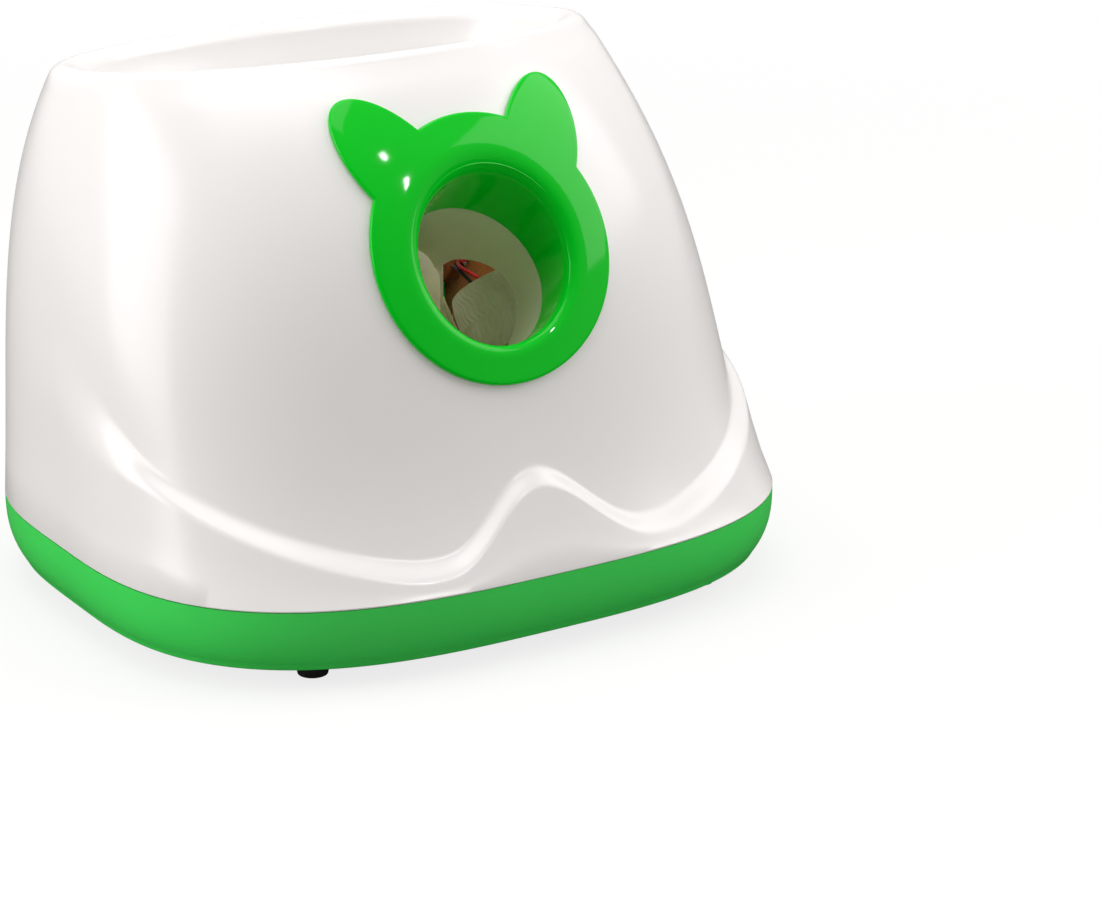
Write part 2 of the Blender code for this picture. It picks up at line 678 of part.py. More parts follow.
def funnel_rings():
    drop = Vector((0, 0, EDGE_LAND + GAP))
    edge = [point - drop for point in rim_ring(FUNNEL_ANGLES, math.pi, LIP_DEPTH)]
    top = [point - Vector((0, 0, EDGE_LAND)) for point in edge]
    throat = throat_ring(THROAT_TOP)
    rings = [edge, top]
    for plan_share, drop_share in bowl_rows:
        ring = []
        for outer, inner in zip(top, throat):
            point = outer.lerp(inner, plan_share)
            point.z = outer.z + (inner.z - outer.z) * drop_share
            ring.append(point)
        rings.append(ring)
    rings.append(throat_ring(THROAT_BOTTOM))
    return rings


funnel_mesh = loft("hopper_funnel", funnel_rings(), recalculate=False)
smooth(funnel_mesh)
hopper_funnel = add_piece("hopper_funnel", funnel_mesh, WHITE_ABS)
solidified(hopper_funnel, FUNNEL_WALL)

# Launch barrel: a tube with a window for each wheel, open above the waiting ball

BARREL_RADIUS = BORE_RADIUS + BARREL_WALL
WHEEL_DEPTH = 0.0865
WINDOW_DEPTH = 0.081
WINDOW_RADIUS = 0.0285
DROP_CLEARANCE = 0.0008
DECK_DROP = 0.0195
DECK_PLATE = 0.003
DECK_START = 0.045
DECK_END = 0.130
LUG_LENGTH = 0.009
LUG_INNER = 0.028
LUG_OUTER = 0.044
LUG_TOP = 0.011
EAR_PLATE = 0.0024
EAR_START = 0.158
PIVOT_DEPTH = 0.177
PIVOT_UP = 0.050
EAR_HALF = 0.008
FEED_SHAFT_RADIUS = 0.003
BARREL_SIDES = 40
REAR_OPEN_DEPTH = 0.148


def barrel_box(name, across, up, depth):
    """A box mesh in the barrel's frame from three (low, high) spans."""
    sizes = [high - low for low, high in (across, up, depth)]
    centre = ((across[0] + across[1]) / 2, (up[0] + up[1]) / 2, -(depth[0] + depth[1]) / 2)
    return box_mesh(name, sizes[0], sizes[1], sizes[2], centre)


tube_mesh = cylinder_mesh("launch_tube", BARREL_RADIUS, -BARREL_END_DEPTH, -BEZEL_DEPTH - GAP, BARREL_SIDES)
smooth(tube_mesh)
launch_tube = add_piece("launch_tube", tube_mesh, MILKY_PP, matrix=BARREL)
for side, label in ((-1, "left"), (1, "right")):
    for start in (DECK_START, DECK_END - LUG_LENGTH):
        span = sorted((side * LUG_INNER, side * LUG_OUTER))
        lug = barrel_box("lug", span, (-DECK_DROP + GAP, -LUG_TOP), (start, start + LUG_LENGTH))
        combine(launch_tube, add_cutter("lug_" + label, lug, BARREL), "UNION")
    ear_span = sorted((side * (BORE_RADIUS + GAP), side * (BORE_RADIUS + GAP + EAR_PLATE)))
    ear = barrel_box("ear", ear_span, (-EAR_HALF, PIVOT_UP + EAR_HALF), (EAR_START, PIVOT_DEPTH + EAR_HALF))
    combine(launch_tube, add_cutter("ear_" + label, ear, BARREL), "UNION")
bore_end = BARREL_END_DEPTH + EAR_HALF * 2
bore = cylinder_mesh("bore", BORE_RADIUS, -bore_end, -BEZEL_DEPTH + OVERRUN, BARREL_SIDES)
combine(launch_tube, add_cutter("bore", bore, BARREL), "DIFFERENCE")
AXLE_TURN = Matrix.Rotation(HALF_TURN / 2, 4, "Y")
for side, label in ((-1, "left"), (1, "right")):
    reach = sorted((side * BORE_RADIUS / 2, side * (BARREL_RADIUS + OVERRUN)))
    window = cylinder_mesh("window", WINDOW_RADIUS, reach[0], reach[1], 40)
    place = BARREL @ Matrix.Translation((0, 0, -WINDOW_DEPTH)) @ AXLE_TURN
    combine(launch_tube, add_cutter("window_" + label, window, place), "DIFFERENCE")
drop_place = Matrix.Translation((0, BALL_REST.y, 0))
drop = cylinder_mesh("drop_way", BARREL_RADIUS + DROP_CLEARANCE, BALL_REST.z, PORT_HEIGHT, BARREL_SIDES)
combine(launch_tube, add_cutter("drop_way", drop, drop_place), "DIFFERENCE")
rear_span = (-BORE_RADIUS, BORE_RADIUS)
rear_open = barrel_box("rear_open", rear_span, (0, PIVOT_UP), (REAR_OPEN_DEPTH, BARREL_END_DEPTH + OVERRUN))
combine(launch_tube, add_cutter("rear_open", rear_open, BARREL), "DIFFERENCE")
# The arm's axle runs to the left, where its motor is
PIVOT = BARREL @ Matrix.Translation((0, PIVOT_UP, -PIVOT_DEPTH)) @ AXLE_TURN.inverted()
axle_hole = cylinder_mesh("axle_hole", FEED_SHAFT_RADIUS + GAP, -LUG_OUTER, LUG_OUTER, 16)
combine(launch_tube, add_cutter("axle_hole", axle_hole, PIVOT), "DIFFERENCE")

# The funnel's throat ends clear of the barrel's top
throat_trim = barrel_box("throat_trim", (-HALF_WIDTH, HALF_WIDTH),
                         (-BARREL_RADIUS, BARREL_RADIUS + FUNNEL_BARREL_GAP),
                         (0, BARREL_END_DEPTH + BARREL_RADIUS))
combine(hopper_funnel, add_cutter("throat_trim", throat_trim, BARREL), "DIFFERENCE")

# Launch wheels: hub, tyre and motor shaft turn together beside each window

WHEEL_ACROSS = 0.055
WHEEL_RADIUS = 0.027
WHEEL_HALF_WIDTH = 0.0165
TYRE_INNER = 0.0205
TYRE_CROWN = 0.0012
HUB_RIM = 0.0022
HUB_WEB = 0.0025
HUB_BOSS = 0.006
MOTOR_SHAFT_RADIUS = 0.0016
SHAFT_CLEARANCE = 0.00005
SHAFT_TOP = 0.014
MOTOR_RADIUS = 0.018
MOTOR_LENGTH = 0.057
MOTOR_BOSS_RADIUS = 0.0055
MOTOR_BOSS = 0.0022
MOTOR_EDGE = 0.002
WHEEL_STEPS = 28

hub_radius = TYRE_INNER - GAP
hub_inner = hub_radius - HUB_RIM
shaft_bore = MOTOR_SHAFT_RADIUS + SHAFT_CLEARANCE
hub_profile = (
    (shaft_bore, WHEEL_HALF_WIDTH),
    (HUB_BOSS, WHEEL_HALF_WIDTH),
    (HUB_BOSS, HUB_WEB),
    (hub_inner, HUB_WEB),
    (hub_inner, WHEEL_HALF_WIDTH),
    (hub_radius, WHEEL_HALF_WIDTH),
    (hub_radius, -WHEEL_HALF_WIDTH),
    (hub_inner, -WHEEL_HALF_WIDTH),
    (hub_inner, -HUB_WEB),
    (HUB_BOSS, -HUB_WEB),
    (HUB_BOSS, -WHEEL_HALF_WIDTH),
    (shaft_bore, -WHEEL_HALF_WIDTH),
    (shaft_bore, WHEEL_HALF_WIDTH),
)
tyre_profile = (
    (TYRE_INNER, WHEEL_HALF_WIDTH),
    (WHEEL_RADIUS - TYRE_CROWN, WHEEL_HALF_WIDTH),
    (WHEEL_RADIUS, WHEEL_HALF_WIDTH / 2),
    (WHEEL_RADIUS, -WHEEL_HALF_WIDTH / 2),
    (WHEEL_RADIUS - TYRE_CROWN, -WHEEL_HALF_WIDTH),
    (TYRE_INNER, -WHEEL_HALF_WIDTH),
    (TYRE_INNER, WHEEL_HALF_WIDTH),
)
motor_face = -DECK_DROP - DECK_PLATE - GAP
motor_boss_top = motor_face + MOTOR_BOSS
motor_profile = (
    (0, motor_boss_top),
    (MOTOR_BOSS_RADIUS, motor_boss_top),
    (MOTOR_BOSS_RADIUS, motor_face),
    (MOTOR_RADIUS - MOTOR_EDGE, motor_face),
    (MOTOR_RADIUS, motor_face - MOTOR_EDGE),
    (MOTOR_RADIUS, motor_face - MOTOR_LENGTH + MOTOR_EDGE),
    (MOTOR_RADIUS - MOTOR_EDGE, motor_face - MOTOR_LENGTH),
    (MOTOR_BOSS_RADIUS, motor_face - MOTOR_LENGTH),
    (MOTOR_BOSS_RADIUS, motor_face - MOTOR_LENGTH - MOTOR_BOSS),
    (0, motor_face - MOTOR_LENGTH - MOTOR_BOSS),
)
shaft_profile = (
    (0, SHAFT_TOP),
    (MOTOR_SHAFT_RADIUS, SHAFT_TOP),
    (MOTOR_SHAFT_RADIUS, motor_boss_top + GAP),
    (0, motor_boss_top + GAP),
)

# Motor mounts: an inclined plate with two cheeks that stand on the floor

CHEEK = 0.0025
CHEEK_INNER = 0.0350
CHEEK_OUTER = 0.084
PLATE_INNER = 0.0328
SOLE_WIDTH = 0.0125


cheek_front = in_barrel(0, -DECK_DROP - DECK_PLATE / 2, DECK_START + CHEEK)
cheek_back = in_barrel(0, -DECK_DROP - DECK_PLATE / 2, DECK_END - CHEEK)


def cheek_mesh(name, low):
    """One cheek as an upright plate, cut off along the deck above it."""
    corners = ((cheek_front.y, cheek_front.z), (cheek_back.y, cheek_back.z),
               (cheek_back.y, low), (cheek_front.y, low))

    def build(work):
        sides = []
        for across in (-CHEEK / 2, CHEEK / 2):
            sides.append([work.verts.new((across, along, up)) for along, up in corners])
        work.faces.new(sides[0])
        work.faces.new(list(reversed(sides[1])))
        for index in range(4):
            after = (index + 1) % 4
            work.faces.new((sides[0][index], sides[1][index], sides[1][after], sides[0][after]))
    return mesh_from(name, build)


def motor_mount(side, label):
    plate_span = sorted((side * PLATE_INNER, side * (CHEEK_OUTER + CHEEK)))
    plate = barrel_box("motor_mount_" + label, plate_span, (-DECK_DROP - DECK_PLATE, -DECK_DROP),
                       (DECK_START, DECK_END))
    mount = add_piece("motor_mount_" + label, plate, GREY_ABS, matrix=BARREL)
    sole_low = FLOOR_TOP + GAP
    for across, low in ((CHEEK_INNER, sole_low), (CHEEK_OUTER, sole_low + CHEEK / 2)):
        place = Matrix.Translation((side * across, 0, 0))
        cheek = add_cutter("cheek_" + label, cheek_mesh("cheek_" + label, low), place)
        combine(mount, cheek, "UNION")
    sole_length = cheek_back.y - cheek_front.y - CHEEK * 2
    sole_across = CHEEK_OUTER - CHEEK + SOLE_WIDTH / 2
    sole_centre = (side * sole_across, (cheek_front.y + cheek_back.y) / 2, sole_low + CHEEK / 2)
    sole = box_mesh("sole_" + label, SOLE_WIDTH, sole_length, CHEEK, sole_centre)
    combine(mount, add_cutter("sole_" + label, sole), "UNION")
    hole = cylinder_mesh("boss_hole_" + label, MOTOR_BOSS_RADIUS + GAP * 2, -DECK_DROP - DECK_PLATE - OVERRUN,
                         -DECK_DROP + OVERRUN, 24)
    combine(mount, add_cutter("boss_hole_" + label, hole, wheel_place(side)), "DIFFERENCE")


def wheel_place(side):
    """Frame of a wheel: z along its shaft, square to the barrel."""
    return (BARREL @ Matrix.Translation((side * WHEEL_ACROSS, 0, -WHEEL_DEPTH))
            @ Matrix.Rotation(-HALF_TURN / 2, 4, "X"))


for side, label in ((-1, "left"), (1, "right")):
    axis = bpy.data.objects.new("wheel_axis_" + label, None)
    parts.objects.link(axis)
    axis.parent = assembly
    axis.matrix_local = wheel_place(side)
    turned("launch_wheel_" + label, hub_profile, GREY_ABS, WHEEL_STEPS, axis)
    turned("wheel_tyre_" + label, tyre_profile, PALE_RUBBER, WHEEL_STEPS, axis)
    turned("motor_shaft_" + label, shaft_profile, STEEL, 16, axis)
    turned("launch_motor_" + label, motor_profile, STEEL, 24, matrix=wheel_place(side))
    motor_mount(side, label)

# Feed arm: a paddle behind the waiting ball, on a shaft turned by its own motor

ARM_HUB_RADIUS = 0.008
ARM_HUB_HALF = 0.020
ARM_HALF_WIDTH = 0.007
PADDLE_THICKNESS = 0.0035
SHAFT_STUB = 0.010
FEED_BOX = 0.022
FEED_BOX_HALF = 0.019
FEED_CAN_RADIUS = 0.012
FEED_CAN = 0.030

arm_axis = bpy.data.objects.new("feed_arm_axis", None)
parts.objects.link(arm_axis)
arm_axis.parent = assembly
arm_axis.matrix_local = PIVOT
hub_mesh = cylinder_mesh("feed_arm", ARM_HUB_RADIUS, -ARM_HUB_HALF, ARM_HUB_HALF, 24)
feed_arm = add_piece("feed_arm", hub_mesh, BLACK_ABS, arm_axis)
arm_bar = barrel_box("arm_bar", (-ARM_HALF_WIDTH, ARM_HALF_WIDTH), (0, PIVOT_UP),
                     (PADDLE_DEPTH, PADDLE_DEPTH + ARM_THICKNESS))
combine(feed_arm, add_cutter("arm_bar", arm_bar, BARREL), "UNION")
paddle = cylinder_mesh("paddle", PADDLE_RADIUS, -PADDLE_DEPTH - PADDLE_THICKNESS, -PADDLE_DEPTH, 32)
combine(feed_arm, add_cutter("paddle", paddle, BARREL), "UNION")
arm_bore = cylinder_mesh("arm_bore", FEED_SHAFT_RADIUS + SHAFT_CLEARANCE, -LUG_OUTER, LUG_OUTER, 16)
combine(feed_arm, add_cutter("arm_bore", arm_bore, PIVOT), "DIFFERENCE")
ear_face = BORE_RADIUS + GAP + EAR_PLATE
feed_shaft = add_piece("feed_shaft", cylinder_mesh("feed_shaft", FEED_SHAFT_RADIUS, -ear_face - OVERRUN,
                                                   ear_face + SHAFT_STUB, 16), STEEL, arm_axis)
feed_box = box_mesh("feed_motor", FEED_BOX_HALF * 2, FEED_BOX_HALF * 2, FEED_BOX,
                    (0, 0, ear_face + GAP + FEED_BOX / 2))
bevel_mesh(feed_box, MOTOR_EDGE, 2, axis=2)
feed_motor = add_piece("feed_motor", feed_box, BLACK_ABS, matrix=PIVOT)
can_end = ear_face + FEED_BOX + FEED_CAN
feed_can = cylinder_mesh("feed_can", FEED_CAN_RADIUS, ear_face + FEED_BOX / 2, can_end, 24)
combine(feed_motor, add_cutter("feed_can", feed_can, PIVOT), "UNION")
feed_socket = cylinder_mesh("feed_socket", FEED_SHAFT_RADIUS + GAP, ear_face - OVERRUN,
                            ear_face + SHAFT_STUB + GAP, 16)
combine(feed_motor, add_cutter("feed_socket", feed_socket, PIVOT), "DIFFERENCE")

# Ball sensor: a light gate across the barrel at the waiting ball

SENSOR_DEPTH = 0.134
SENSOR_ANGLE = math.radians(-24)
SENSOR_SIZE = 0.008
SENSOR_THICKNESS = 0.0056
SENSOR_EYE_RADIUS = 0.0022
for side, label in ((-1, "ball_sensor_emitter"), (1, "ball_sensor_receiver")):
    turn = SENSOR_ANGLE if side > 0 else HALF_TURN - SENSOR_ANGLE
    seat = BARREL @ Matrix.Translation((0, 0, -SENSOR_DEPTH)) @ Matrix.Rotation(turn, 4, "Z")
    eye_hole = cylinder_mesh("eye_hole", SENSOR_EYE_RADIUS, BORE_RADIUS - OVERRUN,
                             BARREL_RADIUS + OVERRUN, 12)
    combine(launch_tube, add_cutter(label + "_hole", eye_hole, seat @ AXLE_TURN), "DIFFERENCE")
    sensor = box_mesh(label, SENSOR_THICKNESS, SENSOR_SIZE, SENSOR_SIZE,
                      (BARREL_RADIUS + GAP + SENSOR_THICKNESS / 2, 0, 0))
    add_piece(label, sensor, BLACK_ABS, matrix=seat)

# Battery: a lidless box over an opening in the floor, six C cells, and a door below them

CELL_LENGTH = 0.049
CELL_NUB = 0.001
CELL_NUB_RADIUS = 0.003
CELL_SPACING = 0.0008
CELL_PITCH = CELL_RADIUS * 2 + CELL_SPACING
CONTACT_PLATE = 0.0008
CONTACT_HEIGHT = 0.018
BATTERY_BACK_INSET = 0.0629
BATTERY_MIDDLE = BACK_REACH - BATTERY_BACK_INSET
BATTERY_FLANGE = 0.006
DOOR_GAP = 0.0005
DOOR_MARGIN = 0.0045
SCOOP_RADIUS = 0.012
SCOOP_DEPTH = 0.0014
SCOOP_LENGTH = 0.028
SCOOP_INSET = 0.009

cell_start = CONTACT_PLATE / 2 + GAP
cell_end = cell_start + CELL_LENGTH + CELL_NUB
cavity_half = cell_end + GAP + CONTACT_PLATE + GAP
cavity_deep = CELL_PITCH * 3
cell_height = FLOOR_TOP + GAP + CELL_RADIUS
cavity_top = cell_height + CELL_RADIUS + GAP
opening_half = cavity_half + DOOR_MARGIN
opening_deep = cavity_deep + DOOR_MARGIN
floor_middle = FOOT_HEIGHT + FLOOR_WALL / 2
opening = box_mesh("battery_opening", opening_half * 2, opening_deep, FLOOR_WALL + OVERRUN,
                   (0, BATTERY_MIDDLE, floor_middle))
combine(base_tub, add_cutter("battery_opening", opening), "DIFFERENCE")

flange_plate = box_mesh("battery_box", (opening_half + BATTERY_FLANGE) * 2,
                        opening_deep + BATTERY_FLANGE * 2, BATTERY_WALL,
                        (0, BATTERY_MIDDLE, FLOOR_TOP + GAP + BATTERY_WALL / 2))
battery_box = add_piece("battery_box", flange_plate, BLACK_ABS)
box_height = BATTERY_TOP - FLOOR_TOP - GAP
hull = box_mesh("battery_hull", (cavity_half + BATTERY_WALL) * 2, cavity_deep + BATTERY_WALL * 2, box_height,
                (0, BATTERY_MIDDLE, FLOOR_TOP + GAP + box_height / 2))
combine(battery_box, add_cutter("battery_hull", hull), "UNION")
cavity = box_mesh("battery_cavity", cavity_half * 2, cavity_deep, cavity_top - FOOT_HEIGHT,
                  (0, BATTERY_MIDDLE, (cavity_top + FOOT_HEIGHT) / 2))
combine(battery_box, add_cutter("battery_cavity", cavity), "DIFFERENCE")

hinge_line = BATTERY_MIDDLE - opening_deep / 2 + DOOR_GAP
door_axis = bpy.data.objects.new("battery_door_axis", None)
parts.objects.link(door_axis)
door_axis.parent = assembly
door_axis.location = (0, hinge_line, FOOT_HEIGHT)
door_deep = opening_deep - DOOR_GAP * 2
door = box_mesh("battery_door", (opening_half - DOOR_GAP) * 2, door_deep, FLOOR_WALL,
                (0, door_deep / 2, FLOOR_WALL / 2))
battery_door = add_piece("battery_door", door, GREEN_ABS, door_axis)
scoop = cylinder_mesh("door_scoop", SCOOP_RADIUS, -SCOOP_LENGTH / 2, SCOOP_LENGTH / 2, 32)
scoop_place = (Matrix.Translation((0, hinge_line + door_deep - SCOOP_INSET,
                                   FOOT_HEIGHT + SCOOP_DEPTH - SCOOP_RADIUS)) @ AXLE_TURN)
combine(battery_door, add_cutter("door_scoop", scoop, scoop_place), "DIFFERENCE")

cell_profile = (
    (0, CELL_LENGTH + CELL_NUB),
    (CELL_NUB_RADIUS, CELL_LENGTH + CELL_NUB),
    (CELL_NUB_RADIUS, CELL_LENGTH),
    (CELL_RADIUS, CELL_LENGTH),
    (CELL_RADIUS, 0),
    (0, 0),
)
number = 0
for row in (-1, 0, 1):
    for side in (-1, 1):
        number += 1
        place = Matrix.Translation((0, BATTERY_MIDDLE + row * CELL_PITCH, cell_height))
        if side == row or (row == 0 and side < 0):
            across, turn = side * cell_start, side * HALF_TURN / 2
        else:
            across, turn = side * cell_end, -side * HALF_TURN / 2
        run = Matrix.Translation((across, 0, 0)) @ Matrix.Rotation(turn, 4, "Y")
        turned("battery_cell_" + str(number), cell_profile, CELL_JACKET, 16, matrix=place @ run)
contact_places = {
    "battery_contact_left": -cell_end - GAP - CONTACT_PLATE / 2,
    "battery_contact_centre": 0,
    "battery_contact_right": cell_end + GAP + CONTACT_PLATE / 2,
}
for name, across in contact_places.items():
    plate = box_mesh(name, CONTACT_PLATE, cavity_deep - GAP * 2, CONTACT_HEIGHT,
                     (across, BATTERY_MIDDLE, cell_height))
    add_piece(name, plate, STEEL)

# Control board: stands on edge in two slotted guide posts of the tub

BOARD_SIDE_INSET = 0.0576
BOARD_BACK_INSET = 0.0304
BOARD_LONG = 0.084
BOARD_ACROSS = HALF_WIDTH - BOARD_SIDE_INSET
BOARD_THICKNESS = 0.0016
BOARD_BACK = BACK_REACH - BOARD_BACK_INSET
BOARD_FRONT = BOARD_BACK - BOARD_LONG
BOARD_BOTTOM = 0.016
BOARD_TOP = 0.112
GUIDE_SIZE = 0.008
GUIDE_TOP = 0.100
GUIDE_HOLD = 0.002
BUZZER_RADIUS = 0.006
BUZZER_HEIGHT = 0.008
BUZZER_INSET = 0.010
BUZZER_DROP = 0.015

board = box_mesh("control_board", BOARD_THICKNESS, BOARD_BACK - BOARD_FRONT, BOARD_TOP - BOARD_BOTTOM,
                 (BOARD_ACROSS, (BOARD_FRONT + BOARD_BACK) / 2, (BOARD_BOTTOM + BOARD_TOP) / 2))
add_piece("control_board", board, PHENOLIC)
for label, edge, side in (("front", BOARD_FRONT, -1), ("back", BOARD_BACK, 1)):
    middle = edge + side * (GUIDE_SIZE / 2 - GUIDE_HOLD)
    guide = box_mesh("guide_" + label, GUIDE_SIZE, GUIDE_SIZE, GUIDE_TOP - floor_middle,
                     (BOARD_ACROSS, middle, (GUIDE_TOP + floor_middle) / 2))
    combine(base_tub, add_cutter("guide_" + label, guide), "UNION")
slot = box_mesh("board_slot", BOARD_THICKNESS + GAP * 2, BOARD_BACK - BOARD_FRONT + GAP * 2,
                BOARD_TOP - BOARD_BOTTOM, (BOARD_ACROSS, (BOARD_FRONT + BOARD_BACK) / 2,
                                           (BOARD_BOTTOM + BOARD_TOP) / 2 - GAP))
combine(base_tub, add_cutter("board_slot", slot), "DIFFERENCE")
board_face = BOARD_ACROSS - BOARD_THICKNESS / 2
buzzer_place = Matrix.Translation((board_face - GAP, BOARD_BACK - BUZZER_INSET,
                                   BOARD_TOP - BUZZER_DROP)) @ AXLE_TURN
buzzer_mesh = cylinder_mesh("buzzer", BUZZER_RADIUS, -BUZZER_HEIGHT, 0, 20)
add_piece("buzzer", buzzer_mesh, BLACK_ABS, matrix=buzzer_place)

# Rear panel: a raised pad with two push buttons and four lights, and the power inlet below it

PANEL_SHARE = 0.31
INLET_SHARE = 0.11
PANEL_LONG = 0.100
PANEL_TALL = 0.034
PANEL_PROUD = 0.0008
PANEL_WALL = 0.0024
PANEL_DEEP = 0.0080
PANEL_SIDE = 0.003
PANEL_FLANGE = 0.004
PANEL_FLANGE_PLATE = 0.002
PANEL_ROUNDING = 0.006
BUTTON_RADIUS = 0.007
BUTTON_PROUD = 0.0018
BUTTON_FLANGE = 0.0014
BUTTON_FLANGE_PLATE = 0.0012
BUTTON_EDGE = 0.0006
BUTTON_TRAVEL = 0.0015
BUTTON_SIDE_GAP = 0.0003
BUTTON_END_GAP = 0.0001
STEM_RADIUS = 0.002
LENS_RADIUS = 0.002
LENS_PROUD = 0.0005
BUTTON_BOARD = 0.0014
POWER_BUTTON_ACROSS = -0.036
POWER_LIGHT_ACROSS = -0.020
DISTANCE_BUTTON_ACROSS = 0.004
DISTANCE_LIGHT_ACROSS = 0.020
LIGHT_PITCH = 0.010


def back_frame(share):
    """Frame on the back's centre line: x to the right seen from behind, y up, z outward."""
    step = PANEL_SHARE / 20
    up = (body_point(math.pi, share + step) - body_point(math.pi, share - step)).normalized()
    outward = Vector((0, up.z, -up.y))
    turn = Matrix((up.cross(outward), up, outward)).transposed()
    return Matrix.Translation(body_point(math.pi, share)) @ turn.to_4x4()


def pad_mesh(name, long, tall, low, high, rounding):
    """A plate with rounded corners, from low to high along Z."""
    mesh = box_mesh(name, long, tall, high - low, (0, 0, (low + high) / 2))
    return bevel_mesh(mesh, rounding, 4, axis=2)


PANEL = back_frame(PANEL_SHARE)
pad = pad_mesh("control_panel", PANEL_LONG, PANEL_TALL, -PANEL_DEEP, PANEL_PROUD, PANEL_ROUNDING)
control_panel = add_piece("control_panel", pad, GREY_ABS, matrix=PANEL)
panel_flange = pad_mesh("panel_flange", PANEL_LONG + PANEL_FLANGE * 2, PANEL_TALL + PANEL_FLANGE * 2,
                        -PANEL_DEEP, PANEL_FLANGE_PLATE - PANEL_DEEP, PANEL_ROUNDING)
combine(control_panel, add_cutter("panel_flange", panel_flange, PANEL), "UNION")
pocket_long = PANEL_LONG - PANEL_SIDE * 2
pocket_tall = PANEL_TALL - PANEL_SIDE * 2
panel_pocket = box_mesh("panel_pocket", pocket_long, pocket_tall, PANEL_DEEP,
                        (0, 0, PANEL_PROUD - PANEL_WALL - PANEL_DEEP / 2))
combine(control_panel, add_cutter("panel_pocket", panel_pocket, PANEL), "DIFFERENCE")
panel_cut = pad_mesh("panel_cut", PANEL_LONG + GAP * 2, PANEL_TALL + GAP * 2, -PANEL_DEEP, PANEL_DEEP,
                     PANEL_ROUNDING)
combine(top_shell, add_cutter("panel_cut", panel_cut, PANEL), "DIFFERENCE")
wall_back = PANEL_PROUD - PANEL_WALL
flange_front = wall_back - GAP
flange_back = flange_front - BUTTON_FLANGE_PLATE
board_front = GAP - PANEL_DEEP + BUTTON_BOARD
stem_end = board_front + BUTTON_END_GAP + BUTTON_TRAVEL
button_top = PANEL_PROUD + BUTTON_PROUD
button_profile = (
    (0, button_top),
    (BUTTON_RADIUS - BUTTON_EDGE, button_top),
    (BUTTON_RADIUS, button_top - BUTTON_EDGE),
    (BUTTON_RADIUS, flange_front),
    (BUTTON_RADIUS + BUTTON_FLANGE, flange_front),
    (BUTTON_RADIUS + BUTTON_FLANGE, flange_back),
    (STEM_RADIUS, flange_back),
    (STEM_RADIUS, stem_end),
    (0, stem_end),
)
lens_profile = (
    (0, PANEL_PROUD + LENS_PROUD),
    (LENS_RADIUS - LENS_PROUD, PANEL_PROUD + LENS_PROUD),
    (LENS_RADIUS, PANEL_PROUD),
    (LENS_RADIUS, board_front + GAP),
    (0, board_front + GAP),
)
button_places = {"power_button": POWER_BUTTON_ACROSS, "distance_button": DISTANCE_BUTTON_ACROSS}
light_places = {
    "power_light": POWER_LIGHT_ACROSS,
    "distance_light_near": DISTANCE_LIGHT_ACROSS,
    "distance_light_mid": DISTANCE_LIGHT_ACROSS + LIGHT_PITCH,
    "distance_light_far": DISTANCE_LIGHT_ACROSS + LIGHT_PITCH * 2,
}
for name, across in button_places.items():
    place = PANEL @ Matrix.Translation((across, 0, 0))
    turned(name, button_profile, GREEN_ABS, 24, matrix=place)
    hole = cylinder_mesh(name + "_hole", BUTTON_RADIUS + BUTTON_SIDE_GAP, -PANEL_DEEP, PANEL_DEEP, 24)
    combine(control_panel, add_cutter(name + "_hole", hole, place), "DIFFERENCE")
for name, across in light_places.items():
    place = PANEL @ Matrix.Translation((across, 0, 0))
    turned(name, lens_profile, CLEAR_LENS, 12, matrix=place)
    hole = cylinder_mesh(name + "_hole", LENS_RADIUS + GAP, -PANEL_DEEP, PANEL_DEEP, 12)
    combine(control_panel, add_cutter(name + "_hole", hole, place), "DIFFERENCE")
button_board = box_mesh("button_board", pocket_long - GAP * 2, pocket_tall - GAP * 2, BUTTON_BOARD,
                        (0, 0, board_front - BUTTON_BOARD / 2))
add_piece("button_board", button_board, PHENOLIC, matrix=PANEL)

SOCKET_FLANGE_RADIUS = 0.0075
SOCKET_FLANGE = 0.0015
SOCKET_RADIUS = 0.0055
SOCKET_LENGTH = 0.012
SOCKET_BORE = 0.0029
SOCKET_BORE_DEPTH = 0.009
SOCKET_PIN_RADIUS = 0.001
INLET = back_frame(INLET_SHARE)
socket_face = GAP + SOCKET_FLANGE
socket_floor = socket_face - SOCKET_BORE_DEPTH
socket_profile = (
    (0, 0),
    (SOCKET_PIN_RADIUS, 0),
    (SOCKET_PIN_RADIUS, socket_floor),
    (SOCKET_BORE, socket_floor),
    (SOCKET_BORE, socket_face),
    (SOCKET_FLANGE_RADIUS, socket_face),
    (SOCKET_FLANGE_RADIUS, GAP),
    (SOCKET_RADIUS, GAP),
    (SOCKET_RADIUS, -SOCKET_LENGTH),
    (0, -SOCKET_LENGTH),
)
turned("dc_socket", socket_profile, BLACK_ABS, 24, matrix=INLET)
socket_hole = cylinder_mesh("socket_hole", SOCKET_RADIUS + GAP, -SOCKET_LENGTH, SOCKET_LENGTH, 24)
combine(top_shell, add_cutter("socket_hole", socket_hole, INLET), "DIFFERENCE")

# Leads: from the board to the right launch motor, and round the back to the feed motor

